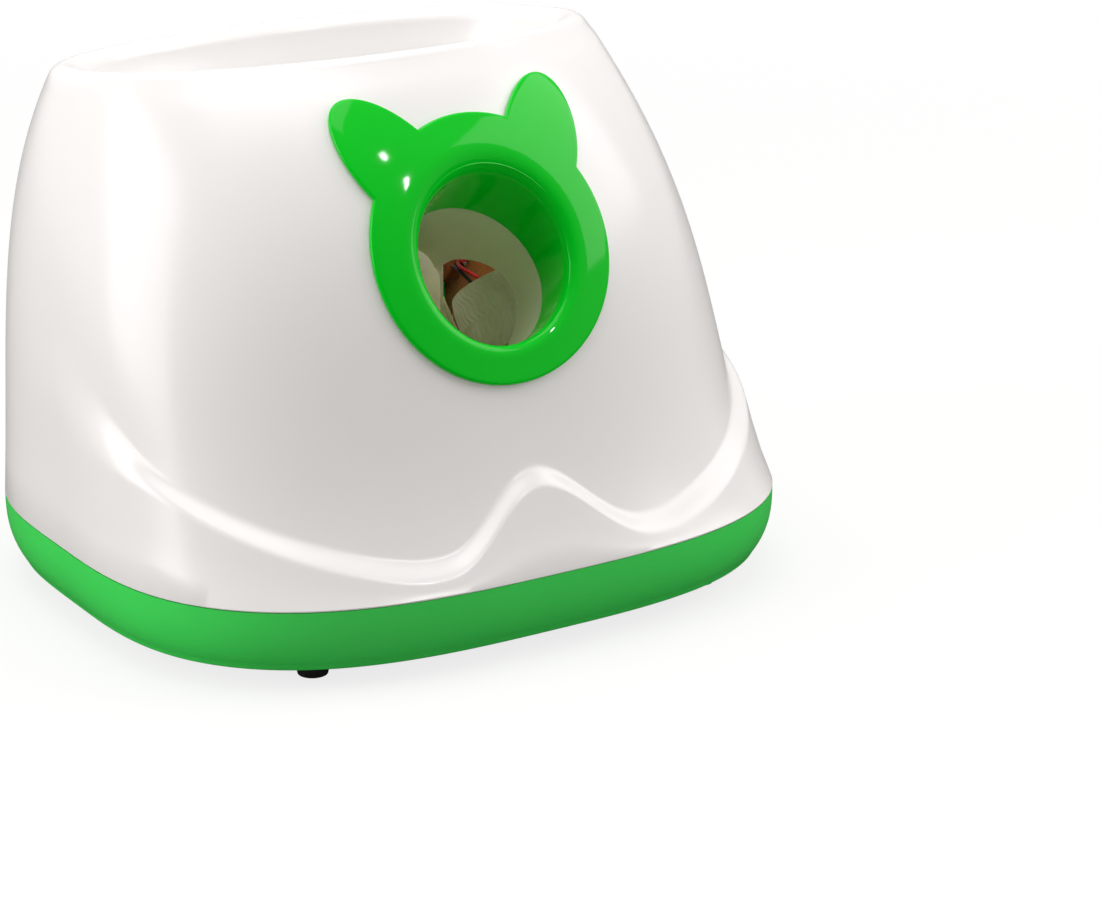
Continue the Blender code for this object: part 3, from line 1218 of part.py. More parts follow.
LEAD_RADIUS = 0.0009
LEAD_PAIR = 0.006
LEAD_RUN = 0.009
LEAD_SAMPLES = 3
feed_route = (
    (-0.097, 0.104, 0.088),
    (-0.090, 0.128, 0.078),
    (-0.040, 0.138, 0.075),
    (0.040, 0.138, 0.074),
    (0.086, 0.128, 0.070),
    (0.098, 0.112, 0.066),
)
launch_route_red = (
    (0.090, -0.064, 0.041),
    (0.091, -0.030, 0.062),
    (0.091, 0.036, 0.095),
    (0.090, 0.082, 0.1036),
    (0.090, 0.098, 0.1054),
    (0.097, 0.111, 0.104),
)
launch_route_black = (
    (0.088, -0.061, 0.036),
    (0.088, -0.030, 0.054),
    (0.089, 0.036, 0.081),
    (0.090, 0.086, 0.0992),
    (0.090, 0.102, 0.104),
    (0.097, 0.115, 0.101),
)


def lead(name, knots, finish):
    """A round lead along a smooth path through the knots."""
    knots = [Vector(knot) for knot in knots]
    padded = [knots[0]] + knots + [knots[-1]]
    path = []
    for index in range(len(knots) - 1):
        before, start, end, after = padded[index:index + 4]
        for step in range(LEAD_SAMPLES):
            share = step / LEAD_SAMPLES
            bend = (end - before) * share + (before * 2 - start * 5 + end * 4 - after) * share ** 2
            bend += (start * 3 - before - end * 3 + after) * share ** 3
            path.append(start + bend / 2)
    path.append(knots[-1])
    curve = bpy.data.curves.new(name, "CURVE")
    curve.dimensions = "3D"
    curve.bevel_depth = LEAD_RADIUS
    curve.bevel_resolution = 2
    curve.use_fill_caps = True
    spline = curve.splines.new("POLY")
    spline.points.add(len(path) - 1)
    for point, place in zip(spline.points, path):
        point.co = (*place, 1.0)
    add_piece(name, curve, finish)


feed_end = can_end + GAP * 2
motor_foot = motor_face - MOTOR_LENGTH - GAP * 2
board_end = board_face - GAP * 2
pivot = PIVOT.translation
routes = (("red", 1, RED_WIRE, launch_route_red), ("black", -1, BLACK_WIRE, launch_route_black))
for label, side, finish, launch_route in routes:
    aside = Vector((0, 0, side * LEAD_PAIR / 2))
    feed_knots = [Vector((-feed_end, pivot.y, pivot.z)) + aside]
    feed_knots += [Vector((-feed_end - LEAD_RUN / 3, pivot.y, pivot.z)) + aside]
    feed_knots += [Vector(place) + aside for place in feed_route]
    last = feed_knots[-1]
    feed_knots += [Vector((board_end - LEAD_RUN / 3, last.y, last.z)), Vector((board_end, last.y, last.z))]
    lead("feed_lead_" + label, feed_knots, finish)
    outer = WHEEL_ACROSS + side * (MOTOR_BOSS_RADIUS + LEAD_PAIR / 2)
    launch_knots = [in_barrel(outer, motor_foot - run, WHEEL_DEPTH) for run in (0, LEAD_RUN / 3, LEAD_RUN)]
    launch_knots += [Vector(place) for place in launch_route]
    last = launch_knots[-1]
    launch_knots += [Vector((board_end - LEAD_RUN / 3, last.y, last.z)), Vector((board_end, last.y, last.z))]
    lead("launch_lead_" + label, launch_knots, finish)
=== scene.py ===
import math

import bmesh
import bpy
import numpy as np
from mathutils import Matrix, Vector


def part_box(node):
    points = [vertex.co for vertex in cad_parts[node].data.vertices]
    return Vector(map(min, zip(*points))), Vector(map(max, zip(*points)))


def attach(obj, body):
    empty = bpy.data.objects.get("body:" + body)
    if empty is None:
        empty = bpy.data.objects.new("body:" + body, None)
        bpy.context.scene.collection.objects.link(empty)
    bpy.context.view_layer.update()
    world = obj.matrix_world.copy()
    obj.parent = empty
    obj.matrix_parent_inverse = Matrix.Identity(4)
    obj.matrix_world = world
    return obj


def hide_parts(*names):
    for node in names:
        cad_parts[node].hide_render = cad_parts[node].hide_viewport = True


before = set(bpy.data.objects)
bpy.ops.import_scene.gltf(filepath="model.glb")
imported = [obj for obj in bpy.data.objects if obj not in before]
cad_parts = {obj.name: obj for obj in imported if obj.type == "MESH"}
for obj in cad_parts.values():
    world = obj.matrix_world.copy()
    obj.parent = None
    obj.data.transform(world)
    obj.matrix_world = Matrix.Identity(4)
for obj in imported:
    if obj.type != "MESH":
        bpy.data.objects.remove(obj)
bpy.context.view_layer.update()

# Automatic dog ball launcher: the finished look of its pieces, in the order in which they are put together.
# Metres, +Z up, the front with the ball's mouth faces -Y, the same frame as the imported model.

# The studio: a pale floor under soft lamps, seen by a long lens from the front left and a little above.
# The floor and the surroundings show white to the camera and in reflections, and keep the soft shadow.
CAMERA_TARGET = Vector((0.05256, -0.06011, 0.05752))
CAMERA_TURN = math.radians(33.69)
CAMERA_RISE = math.radians(18.39)
CAMERA_DISTANCE = 1.7
CAMERA_LENS = 124.37
CAMERA_SENSOR = 36.0
FLOOR_HALF = 4.0
FLOOR_SHOWN_WHITE = 0.80
WHITE_FROM = 0.4
WHITE_FULLY = 1.2
SURROUND_LIGHT = 0.72
SURROUND_DIM = 0.06
DIM_SIDE = (-0.62, -0.78, -0.08)
DIM_FROM = 0.1
DIM_FULLY = 0.9
LAMP_TINT = "FFFDFC"
QUARTER = math.pi / 2


def linear(code):
    """An sRGB hex colour as linear red, green and blue, with a full alpha."""
    parts = [int(code[start:start + 2], 16) / 255 for start in (0, 2, 4)]
    return (*(part / 12.92 if part <= 0.04045 else ((part + 0.055) / 1.055) ** 2.4 for part in parts), 1.0)


def add_node(tree, kind, inputs=(), **settings):
    """Adds a node: settings are its own properties, inputs are values or the sockets that feed it."""
    made = tree.nodes.new(kind)
    for setting, value in settings.items():
        setattr(made, setting, value)
    for socket, value in dict(inputs).items():
        if isinstance(value, bpy.types.NodeSocket):
            tree.links.new(value, made.inputs[socket])
        else:
            made.inputs[socket].default_value = value
    return made


def mapped(tree, value, start, end, low=0.0, high=1.0):
    """A value's span from start to end, spread from low to high."""
    return add_node(tree, "ShaderNodeMapRange", {"Value": value, "From Min": start, "From Max": end,
                                                 "To Min": low, "To Max": high}).outputs[0]


def two_tone(tree, factor, first, second):
    """A mix of two colours: a hex code each, or a socket."""
    first, second = (linear(tone) if isinstance(tone, str) else tone for tone in (first, second))
    return add_node(tree, "ShaderNodeMix", {0: factor, 6: first, 7: second}, data_type="RGBA").outputs[2]


def shown_white(tree):
    """1 for what the camera sees, also through clear plastic, and 0 for light that falls on the object."""
    path = add_node(tree, "ShaderNodeLightPath").outputs
    return add_node(tree, "ShaderNodeMath", {0: path["Is Camera Ray"], 1: path["Is Transmission Ray"]},
                    operation="MAXIMUM").outputs[0]


def glow(tree, kind, colour, strength):
    return add_node(tree, kind, {"Color": linear(colour), "Strength": strength}).outputs[0]


def bare_tree(block):
    """The emptied node tree of a material or a world."""
    block.use_nodes = True
    block.node_tree.nodes.clear()
    return block.node_tree


scene = bpy.context.scene
camera = bpy.data.objects.new("camera", bpy.data.cameras.new("camera"))
scene.collection.objects.link(camera)
scene.camera = camera
back = Vector((-math.sin(CAMERA_TURN) * math.cos(CAMERA_RISE), -math.cos(CAMERA_TURN) * math.cos(CAMERA_RISE),
               math.sin(CAMERA_RISE)))
camera.location = CAMERA_TARGET + back * CAMERA_DISTANCE
camera.rotation_euler = (-back).to_track_quat("-Z", "Y").to_euler()
camera.data.lens = CAMERA_LENS
camera.data.sensor_width = CAMERA_SENSOR
scene.view_settings.view_transform = "Standard"

scene.world = bpy.data.worlds.new("white_room")
tree = bare_tree(scene.world)
way = add_node(tree, "ShaderNodeTexCoord").outputs["Generated"]
toward = add_node(tree, "ShaderNodeVectorMath", {0: way, 1: DIM_SIDE}, operation="DOT_PRODUCT").outputs["Value"]
dimmed = mapped(tree, toward, DIM_FROM, DIM_FULLY, SURROUND_LIGHT, SURROUND_DIM)
lighting = glow(tree, "ShaderNodeBackground", LAMP_TINT, dimmed)
mixed = add_node(tree, "ShaderNodeMixShader", {0: shown_white(tree), 1: lighting,
                                               2: glow(tree, "ShaderNodeBackground", "FFFFFF", 1.0)})
add_node(tree, "ShaderNodeOutputWorld", {"Surface": mixed.outputs[0]})

floor_mesh = bpy.data.meshes.new("studio_floor")
corners = [(x * FLOOR_HALF, y * FLOOR_HALF, 0) for x, y in ((-1, -1), (1, -1), (1, 1), (-1, 1))]
floor_mesh.from_pydata(corners, [], [(0, 1, 2, 3)])
floor = bpy.data.objects.new("studio_floor", floor_mesh)
scene.collection.objects.link(floor)

# Matt white paper: white when seen, grey in what it throws back at the object, darker where gloss mirrors it
paper = bpy.data.materials.new("matt_white_paper")
tree = bare_tree(paper)
bounce = two_tone(tree, add_node(tree, "ShaderNodeLightPath").outputs["Is Glossy Ray"], "A5A19F", "4C4A49")
matt = add_node(tree, "ShaderNodeBsdfDiffuse", {"Color": two_tone(tree, shown_white(tree), bounce, "EDECEA")})
away = add_node(tree, "ShaderNodeVectorMath", {0: add_node(tree, "ShaderNodeTexCoord").outputs["Object"]},
                operation="LENGTH").outputs["Value"]
whiter = mapped(tree, away, WHITE_FROM, WHITE_FULLY, FLOOR_SHOWN_WHITE, 1.0)
share = add_node(tree, "ShaderNodeMath", {0: shown_white(tree), 1: whiter}, operation="MULTIPLY").outputs[0]
surface = add_node(tree, "ShaderNodeMixShader", {0: share, 1: matt.outputs[0],
                                                 2: glow(tree, "ShaderNodeEmission", "FFFFFF", 1.0)})
add_node(tree, "ShaderNodeOutputMaterial", {"Surface": surface.outputs[0]})
floor_mesh.materials.append(paper)


def add_lamp(name, kind, place, watts, tint):
    lamp = bpy.data.objects.new(name, bpy.data.lights.new(name, kind))
    lamp.data.energy = watts
    lamp.data.color = linear(tint)[:3]
    lamp.location = place
    scene.collection.objects.link(lamp)
    return lamp


def soft_lamp(name, place, aim, wide, tall, watts, tint=LAMP_TINT):
    """A rectangular soft box that faces one point."""
    lamp = add_lamp(name, "AREA", place, watts, tint)
    lamp.data.shape = "RECTANGLE"
    lamp.data.size = wide
    lamp.data.size_y = tall
    lamp.rotation_euler = (Vector(aim) - Vector(place)).to_track_quat("-Z", "Y").to_euler()
    return lamp


AIM = (0, 0, 0.12)
soft_lamp("overhead_box", (-0.1, 0.05, 1.65), AIM, 1.4, 1.1, 11.5)
soft_lamp("left_box", (-1.6, 0.30, 0.75), AIM, 1.0, 1.3, 15.5)
soft_lamp("right_box", (1.19, -0.53, 0.92), AIM, 1.1, 0.95, 8.5)
camera_lamp = soft_lamp("camera_lamp", (-0.93, -1.36, 0.66), (0, -0.02, 0.14), 0.12, 0.12, 1.7, "FFFDFB")
camera_lamp.visible_glossy = False
# Two small lamps that only show as reflections: the sparks on the left ear and the port's lip
for label, place, wide, tall, watts in (("low", (0.41, -1.10, 1.21), 0.045, 0.10, 1.5),
                                        ("high", (0.29, -0.94, 1.39), 0.030, 0.06, 0.6)):
    spark = soft_lamp("spark_lamp_" + label, place, (-0.03, -0.08, 0.2), wide, tall, watts, "FFFFFF")
    spark.visible_diffuse = False
# Daylight that seeps through the white walls: a faint lamp inside the case, beside the right wheel
seep = add_lamp("seeping_daylight", "POINT", (0.072, 0.030, 0.150), 0.06, "FFF4E4")
seep.data.shadow_soft_size = 0.012
seep.visible_glossy = False
seep.visible_camera = False


# Base tub: the green band, the floor and the two slotted posts that hold the circuit board.
# One injection moulding in ABS. The seam with the shell above follows the same outline, skirt included.
HALF_WIDTH = 0.1614
FRONT_REACH = 0.1183
BACK_REACH = 0.1644
FOOT_HEIGHT = 0.008
BAND_HEIGHT = 0.0287
SHELL_HEIGHT = 0.1961
RIM_TILT = math.radians(6.8)
LEDGE_PROUD = 0.005
GAP = 0.0003
OVERRUN = 0.004
SEAM_HEIGHT = FOOT_HEIGHT + BAND_HEIGHT
FRONT_POWERS = (2.96, 2.07)
BACK_POWERS = (2.89, 2.21)
LEVELS = (0.0, 0.25, 0.5, 0.75, 1.0)
SIZES_BY_LEVEL = ((HALF_WIDTH, (1.0, 0.976, 0.949, 0.885, 0.776)),
                  (FRONT_REACH, (1.0, 0.820, 0.698, 0.520, 0.152)),
                  (BACK_REACH, (1.0, 1.012, 1.035, 1.054, 0.942)))
SIZE_CURVES = [(size, [float(factor) for factor in np.polyfit(LEVELS, shares, 4)])
               for size, shares in SIZES_BY_LEVEL]
SKIRT_FADE = (58, 46)
COLUMNS = 256
ANGLES = [math.remainder(2 * math.pi * step / COLUMNS, 2 * math.pi) for step in range(COLUMNS)]
SHARP = math.radians(32)
SIDES = ((-1, "left"), (1, "right"))


def plan_at(share):
    """Half width, front reach and back reach of the body at one share of the shell's height."""
    sizes = []
    for size, curve in SIZE_CURVES:
        value = 0.0
        for factor in curve:
            value = value * share + factor
        sizes.append(size * value)
    return sizes


PLAN_SHIFT = (FRONT_REACH + LEDGE_PROUD - max(plan_at(step / 40)[2] for step in range(41))) / 2


def rim_slope(share):
    return math.tan(-RIM_TILT * share * share)


def body_point(angle, share, proud=0.0):
    """A point of the outer surface: angle 0 is the front, share 0 the seam and 1 the rim."""
    half_width, front, rear = (size + proud for size in plan_at(share))
    low, high = FRONT_POWERS if math.cos(angle) > 0 else BACK_POWERS
    power = low + (high - low) * share
    across = abs(math.sin(angle)) / half_width
    along = abs(math.cos(angle)) / ((front + rear) / 2)
    radius = (across ** power + along ** power) ** (-1 / power)
    run = -radius * math.cos(angle)
    return Vector((radius * math.sin(angle), (rear - front) / 2 + run + PLAN_SHIFT,
                   SEAM_HEIGHT + SHELL_HEIGHT * share + rim_slope(share) * run))


def smooth_turn(angle, start, span):
    """0 up to a start in degrees from the front, 1 a span further back, and a smooth step between."""
    turn = min(max((abs(angle) - math.radians(start)) / math.radians(span), 0.0), 1.0)
    return turn * turn * (3 - 2 * turn)


def skirt_fade(angle):
    """How far the skirt stands out: fully at the front, not at all at the back."""
    return 1 - smooth_turn(angle, *SKIRT_FADE)


def skin_row(share, proud_share, inset=0.0):
    return [body_point(angle, share, LEDGE_PROUD * proud_share * skirt_fade(angle) - inset) for angle in ANGLES]


def arc(radius, height, size, start, end, steps):
    """Points of (radius, height) round a centre, from one angle to another, both in quarter turns."""
    turns = [QUARTER * (start + (end - start) * step / steps) for step in range(steps + 1)]
    return [(radius + size * math.cos(turn), height + size * math.sin(turn)) for turn in turns]


def at(across=0.0, along=0.0, up=0.0):
    return Matrix.Translation((across, along, up))


def spun(angle, axis="Z"):
    return Matrix.Rotation(angle, 4, axis)


def span(size, middle=0.0):
    """The low and the high end of a size round its middle."""
    return middle - size / 2, middle + size / 2


def meshed(work, name, matrix=Matrix()):
    """The mesh of a finished bmesh, set in place by a matrix."""
    bmesh.ops.transform(work, matrix=matrix, verts=work.verts)
    mesh = bpy.data.meshes.new(name)
    work.to_mesh(mesh)
    work.free()
    return mesh


def loft(name, rows, cap_first=False, cap_last=False, wrap_rows=False, outward=True, matrix=Matrix()):
    """A skin through closed rows of points."""
    work = bmesh.new()
    rings = [[work.verts.new(point) for point in row] for row in rows]
    for first, second in zip(rings, rings[1:] + rings[:1] if wrap_rows else rings[1:]):
        for index in range(len(first)):
            after = (index + 1) % len(first)
            work.faces.new((first[index], first[after], second[after], second[index]))
    if cap_first:
        work.faces.new(list(reversed(rings[0])))
    if cap_last:
        work.faces.new(rings[-1])
    if outward:
        bmesh.ops.recalc_face_normals(work, faces=work.faces)
    return meshed(work, name, matrix)


def box(spans, matrix=Matrix()):
    """A box from its three (low, high) spans."""
    work = bmesh.new()
    bmesh.ops.create_cube(work, size=1.0)
    bmesh.ops.scale(work, vec=[high - low for low, high in spans], verts=work.verts)
    bmesh.ops.translate(work, vec=[(high + low) / 2 for low, high in spans], verts=work.verts)
    return meshed(work, "box", matrix)


def rod(radius, low, high, matrix=Matrix(), sides=64):
    """A cylinder along Z from low to high, set in place by a matrix."""
    work = bmesh.new()
    bmesh.ops.create_cone(work, cap_ends=True, segments=sides, radius1=radius, radius2=radius, depth=high - low)
    bmesh.ops.translate(work, vec=(0, 0, (low + high) / 2), verts=work.verts)
    return meshed(work, "rod", matrix)


def turned(profile, steps, matrix):
    """A solid turned about Z from its profile of (radius, height), set in place by a matrix."""
    work = bmesh.new()
    points = [work.verts.new((radius, 0, height)) for radius, height in profile]
    edges = [work.edges.new(pair) for pair in zip(points[:-1], points[1:])]
    bmesh.ops.spin(work, geom=points + edges, cent=(0, 0, 0), axis=(0, 0, 1), angle=2 * math.pi, steps=steps)
    bmesh.ops.remove_doubles(work, verts=work.verts, dist=0.000001)
    bmesh.ops.recalc_face_normals(work, faces=work.faces)
    return meshed(work, "turned", matrix)


def apply_steps(thing):
    """Makes what an object's modifiers give its own mesh."""
    made = bpy.data.meshes.new_from_object(thing.evaluated_get(bpy.context.evaluated_depsgraph_get()))
    thing.modifiers.clear()
    thing.data = made


def carve(thing, tool_mesh, operation="DIFFERENCE"):
    """Cuts a mesh out of a piece, or joins it on."""
    tool = bpy.data.objects.new("tool", tool_mesh)
    scene.collection.objects.link(tool)
    step = thing.modifiers.new("carve", "BOOLEAN")
    step.operation = operation
    step.solver = "EXACT"
    step.object = tool
    apply_steps(thing)
    bpy.data.objects.remove(tool)


def thicken(thing, thickness):
    """Gives a skin its wall, on the inside."""
    wall = thing.modifiers.new("wall", "SOLIDIFY")
    wall.thickness = thickness
    wall.offset = -1
    wall.use_even_offset = True
    apply_steps(thing)


def settle(thing, edge=SHARP):
    """Shades a piece smooth, with its corners kept crisp."""
    thing.data.shade_smooth()
    thing.data.set_sharp_from_angle(angle=edge)


def enter(thing, finish, body, replaced):
    """Links a piece and says its finish, the body it rides on and the nodes it stands for."""
    scene.collection.objects.link(thing)
    thing.data.materials.clear()
    thing.data.materials.append(finish)
    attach(thing, body)
    if replaced:
        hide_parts(*replaced)


def add_piece(name, mesh, finish, replaced=(), body="housing", edge=SHARP):
    made = bpy.data.objects.new(name, mesh)
    enter(made, finish, body, replaced)
    settle(made, edge)
    return made


def noise(tree, size, detail, stretch=None):
    """A pattern on the object that repeats about every size millimetres."""
    place = add_node(tree, "ShaderNodeTexCoord").outputs["Object"]
    if stretch:
        place = add_node(tree, "ShaderNodeMapping", {"Vector": place, "Scale": stretch}).outputs[0]
    return add_node(tree, "ShaderNodeTexNoise", {"Vector": place, "Scale": 1000 / size,
                                                 "Detail": detail}).outputs["Fac"]


def surfaced(name, slot, colours, tone, rough, relief, stretch=None, fibre=None, used=(0.0, 1.0), **constants):
    """A material whose tone, roughness and relief each follow a pattern of (mm, detail); the slot argument is
    not used.
    """
    finish = bpy.data.materials.new(name)
    finish.use_nodes = True
    tree = finish.node_tree
    shader = tree.nodes["Principled BSDF"].inputs
    factor = noise(tree, *tone, stretch)
    if fibre:
        factor = add_node(tree, "ShaderNodeMath", {0: factor, 1: noise(tree, *fibre)},
                          operation="MULTIPLY").outputs[0]
    tree.links.new(two_tone(tree, mapped(tree, factor, *used), *colours), shader["Base Color"])
    size, detail, low, high = rough
    tree.links.new(mapped(tree, noise(tree, size, detail, stretch), 0.0, 1.0, low, high), shader["Roughness"])
    if relief:
        size, detail, depth = relief
        bump = add_node(tree, "ShaderNodeBump", {"Height": noise(tree, size, detail, stretch),
                                                 "Distance": depth, "Strength": 1.0})
        tree.links.new(bump.outputs[0], shader["Normal"])
    for socket, value in constants.items():
        shader[socket.replace("_", " ")].default_value = value
    return finish


def moulded_plastic(name, slot, colours, gloss, peel_mm, peel_depth, **constants):
    """Injection-moulded plastic: colour drifts with the flow, gloss varies, the face has a faint skin."""
    return surfaced(name, slot, colours, (70.0, 2.0), (9.0, 4.0, gloss * 0.85, gloss * 1.2),
                    (peel_mm, 3.0, peel_depth), **{"IOR": 1.53, **constants})


# Glossy green ABS, straight from a polished tool: a clear, slightly warm green with soft, wide highlights
band_green = moulded_plastic("moulded_green_abs", "green_abs", ("38DC56", "40E65E"), 0.30, 1.6, 0.000004)
BAND_INSET = 0.0065
BAND_POWER = 2.9
BAND_EASE = 1.3
FLOOR_WALL = 0.003
FLOOR_TOP = FOOT_HEIGHT + FLOOR_WALL
BAND_ROWS = 16
BAND_EDGE = 0.0016
outline = []
for step in range(BAND_ROWS + 1):
    level = (step / BAND_ROWS) ** BAND_EASE
    outline.append((BAND_INSET * level ** BAND_POWER,
                    FOOT_HEIGHT + (BAND_HEIGHT - GAP) - (BAND_HEIGHT - GAP - BAND_EDGE) * level))
inner = [(inset + FLOOR_WALL, height) for inset, height in outline if height > FLOOR_TOP + BAND_EDGE]
inner.append((BAND_INSET + FLOOR_WALL, FLOOR_TOP))
outline += arc(BAND_INSET + BAND_EDGE, FOOT_HEIGHT + BAND_EDGE, BAND_EDGE, 2, 3, 5)[1:]
rows = [[Vector((point.x, point.y, height)) for point in skin_row(0.0, 1.0, inset)]
        for inset, height in inner[::-1] + outline]
tub = add_piece("green_base_tub", loft("green_base_tub", rows, cap_first=True, cap_last=True), band_green,
                ["base_tub"])

CELL_RADIUS = 0.0131
CELL_LENGTH = 0.049
CELL_NUB = 0.001
CELL_PITCH = 0.027
CONTACT_PLATE = 0.0008
BATTERY_MIDDLE = BACK_REACH - 0.0629 + PLAN_SHIFT
DOOR_MARGIN = 0.0045
cell_start = CONTACT_PLATE / 2 + GAP
cell_end = cell_start + CELL_LENGTH + CELL_NUB
opening_wide = (cell_end + GAP * 2 + CONTACT_PLATE + DOOR_MARGIN) * 2
carve(tub, box((span(opening_wide), span(CELL_PITCH * 3 + DOOR_MARGIN, BATTERY_MIDDLE),
                (FOOT_HEIGHT - OVERRUN, FLOOR_TOP + OVERRUN))))

BOARD_ACROSS = HALF_WIDTH - 0.0576
BOARD_THICKNESS = 0.0016
BOARD_BACK = BACK_REACH - 0.0304 + PLAN_SHIFT
BOARD_FRONT = BOARD_BACK - 0.084
BOARD_BOTTOM = 0.016
BOARD_TOP = 0.112
GUIDE_SIZE = 0.008
GUIDE_TOP = 0.100
GUIDE_HOLD = 0.002
for middle in (BOARD_FRONT - GUIDE_SIZE / 2 + GUIDE_HOLD, BOARD_BACK + GUIDE_SIZE / 2 - GUIDE_HOLD):
    carve(tub, box((span(GUIDE_SIZE, BOARD_ACROSS), span(GUIDE_SIZE, middle),
                    (FOOT_HEIGHT + FLOOR_WALL / 2, GUIDE_TOP))), "UNION")
carve(tub, box((span(BOARD_THICKNESS + GAP * 2, BOARD_ACROSS), (BOARD_FRONT - GAP, BOARD_BACK + GAP),
                (BOARD_BOTTOM - GAP, BOARD_TOP))))


# Case screws: four zinc-plated steel screws with a pan head and a cross recess, driven up through the floor.
# Rolled thread and a stamped head; the plating gives a cool, slightly cloudy grey with fine drive marks.
SCREW_RADIUS = 0.00175
SCREW_LENGTH = 0.013
SCREW_HEAD_RADIUS = 0.0036
SCREW_HEAD = 0.0014
THREAD_PITCH = 0.0014
THREAD_DEPTH = 0.0003
RECESS_LONG = 0.0036
RECESS_WIDE = 0.0008
RECESS_DEEP = 0.0009


def four_places(front, rear):
    """Where four like pieces stand: front and rear are each an inset from the side and a y."""
    return {row + side: (sign * (HALF_WIDTH - inset), along)
            for row, (inset, along) in (("front_", front), ("rear_", rear))
            for sign, side in SIDES}


def metal(name, slot, colours, rough_low, rough_high, grain, stretch=None):
    """A plated or drawn metal: a tone that shifts a little, and a brushed or spangled roughness."""
    return surfaced(name, slot, colours, (grain, 4.0), (grain, 4.0, rough_low, rough_high),
                    (grain, 4.0, 0.000004), stretch, Metallic=1.0)


POST_PLACES = four_places((0.0434, 0.0583 - FRONT_REACH), (0.0374, BACK_REACH - 0.0604))
zinc = metal("zinc_plated_steel", "zinc_plated_steel", ("A9ADB3", "C9CCD0"), 0.22, 0.42, 1.2)
head_top = FOOT_HEIGHT + SCREW_HEAD
screw_profile = [(0, head_top + SCREW_LENGTH), (SCREW_RADIUS / 2, FOOT_HEIGHT + SCREW_LENGTH)]
height = FOOT_HEIGHT + SCREW_LENGTH - THREAD_PITCH / 2
while height > head_top + THREAD_PITCH:
    screw_profile += [(SCREW_RADIUS, height), (SCREW_RADIUS - THREAD_DEPTH, height - THREAD_PITCH / 2)]
    height -= THREAD_PITCH
screw_profile += [(SCREW_RADIUS, head_top), (SCREW_HEAD_RADIUS, head_top),
                  (SCREW_HEAD_RADIUS, FOOT_HEIGHT + SCREW_HEAD * 0.6),
                  (SCREW_HEAD_RADIUS * 0.85, FOOT_HEIGHT + GAP * 1.4),
                  (SCREW_HEAD_RADIUS * 0.5, FOOT_HEIGHT + GAP), (0, FOOT_HEIGHT + GAP)]
for label, (across, along) in POST_PLACES.items():
    name = "case_screw_" + label
    place = at(across, along + PLAN_SHIFT)
    carve(tub, rod(SCREW_HEAD_RADIUS + GAP * 2, FOOT_HEIGHT - OVERRUN, head_top + GAP, place, 40))
    screw = add_piece(name + "_finish", turned(screw_profile, 32, place), zinc, [name])
    for long, wide in ((RECESS_LONG, RECESS_WIDE), (RECESS_WIDE, RECESS_LONG)):
        carve(screw, box((span(long), span(wide), (FOOT_HEIGHT - OVERRUN, FOOT_HEIGHT + RECESS_DEEP)), place))
    settle(screw)
settle(tub)


# Feet: four black rubber pads, each with a stem that is pushed through a hole in the floor.
# Moulded nitrile rubber: dull black, a little grey where it is rubbed, with a fine grain.
FOOT_RADIUS = 0.0066
FOOT_TOP_RADIUS = 0.0078
FOOT_STEM_RADIUS = 0.003
FOOT_STEM = 0.0055
FOOT_ROUND = 0.0008
FOOT_PLACES = four_places((0.0614, 0.0343 - FRONT_REACH), (0.0614, BACK_REACH - 0.0384))


def rubber(name, slot, colours, rough, grain, **constants):
    """Moulded rubber: matt, with worn, paler patches and a fine grain."""
    return surfaced(name, slot, colours, (14.0, 5.0), (14.0, 5.0, rough, min(rough * 1.2, 1.0)),
                    (grain, 2.0, 0.00002), used=(0.42, 0.75), IOR=1.52, **constants)


black_rubber = rubber("moulded_black_rubber", "black_rubber", ("1C1C1D", "313132"), 0.7, 0.35)
stem_top = FOOT_HEIGHT + FOOT_STEM
pad_top = FOOT_HEIGHT - GAP
foot_profile = [(0, stem_top), (FOOT_STEM_RADIUS * 0.8, stem_top), (FOOT_STEM_RADIUS, stem_top - FOOT_ROUND),
                (FOOT_STEM_RADIUS, pad_top), (FOOT_TOP_RADIUS - FOOT_ROUND, pad_top),
                (FOOT_TOP_RADIUS, pad_top - FOOT_ROUND)]
foot_profile += arc(FOOT_RADIUS - FOOT_ROUND, FOOT_ROUND, FOOT_ROUND, 0, -1, 5) + [(0, 0)]
for label, (across, along) in FOOT_PLACES.items():
    name = "foot_" + label
    add_piece(name + "_rubber", turned(foot_profile, 48, at(across, along + PLAN_SHIFT)), black_rubber, [name])


# Battery box: a black box over an opening in the floor, with six C cells, three spring strips and a door.
# Box and door are moulded ABS, the strips are nickel-plated spring steel, and the cells wear a shrunk sleeve.
def round_edges(work, edges, width, segments):
    bmesh.ops.bevel(work, geom=edges, offset=width, segments=segments, profile=0.5, affect="EDGES",
                    clamp_overlap=True)


def from_node(name, node, finish, body="housing", bevel=0.0003):
    """A piece with a node's own shape, its sharp edges rounded as a mould or a die leaves them."""
    work = bmesh.new()
    work.from_mesh(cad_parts[node].data)
    bmesh.ops.remove_doubles(work, verts=work.verts, dist=0.000002)
    bmesh.ops.dissolve_limit(work, angle_limit=math.radians(0.3), verts=work.verts, edges=work.edges)
    sharp = [edge for edge in work.edges
             if len(edge.link_faces) == 2 and edge.calc_face_angle(0) > math.radians(30)]
    round_edges(work, sharp, bevel, 2)
    return add_piece(name, meshed(work, name), finish, [node], body)


# Black ABS with a spark-eroded face: near black and satin. Nickel plate: warmer and brighter than zinc
black_abs = moulded_plastic("moulded_black_abs", "black_abs", ("1D1E1F", "262728"), 0.42, 0.5, 0.00002)
nickel = metal("nickel_plated_spring_steel", "zinc_plated_steel", ("BDB8AE", "D8D3C8"), 0.18, 0.32, 2.0)
from_node("battery_box_shell", "battery_box", black_abs)
for label in ("left", "centre", "right"):
    node = "battery_contact_" + label
    from_node(node + "_strip", node, nickel, bevel=0.0001)

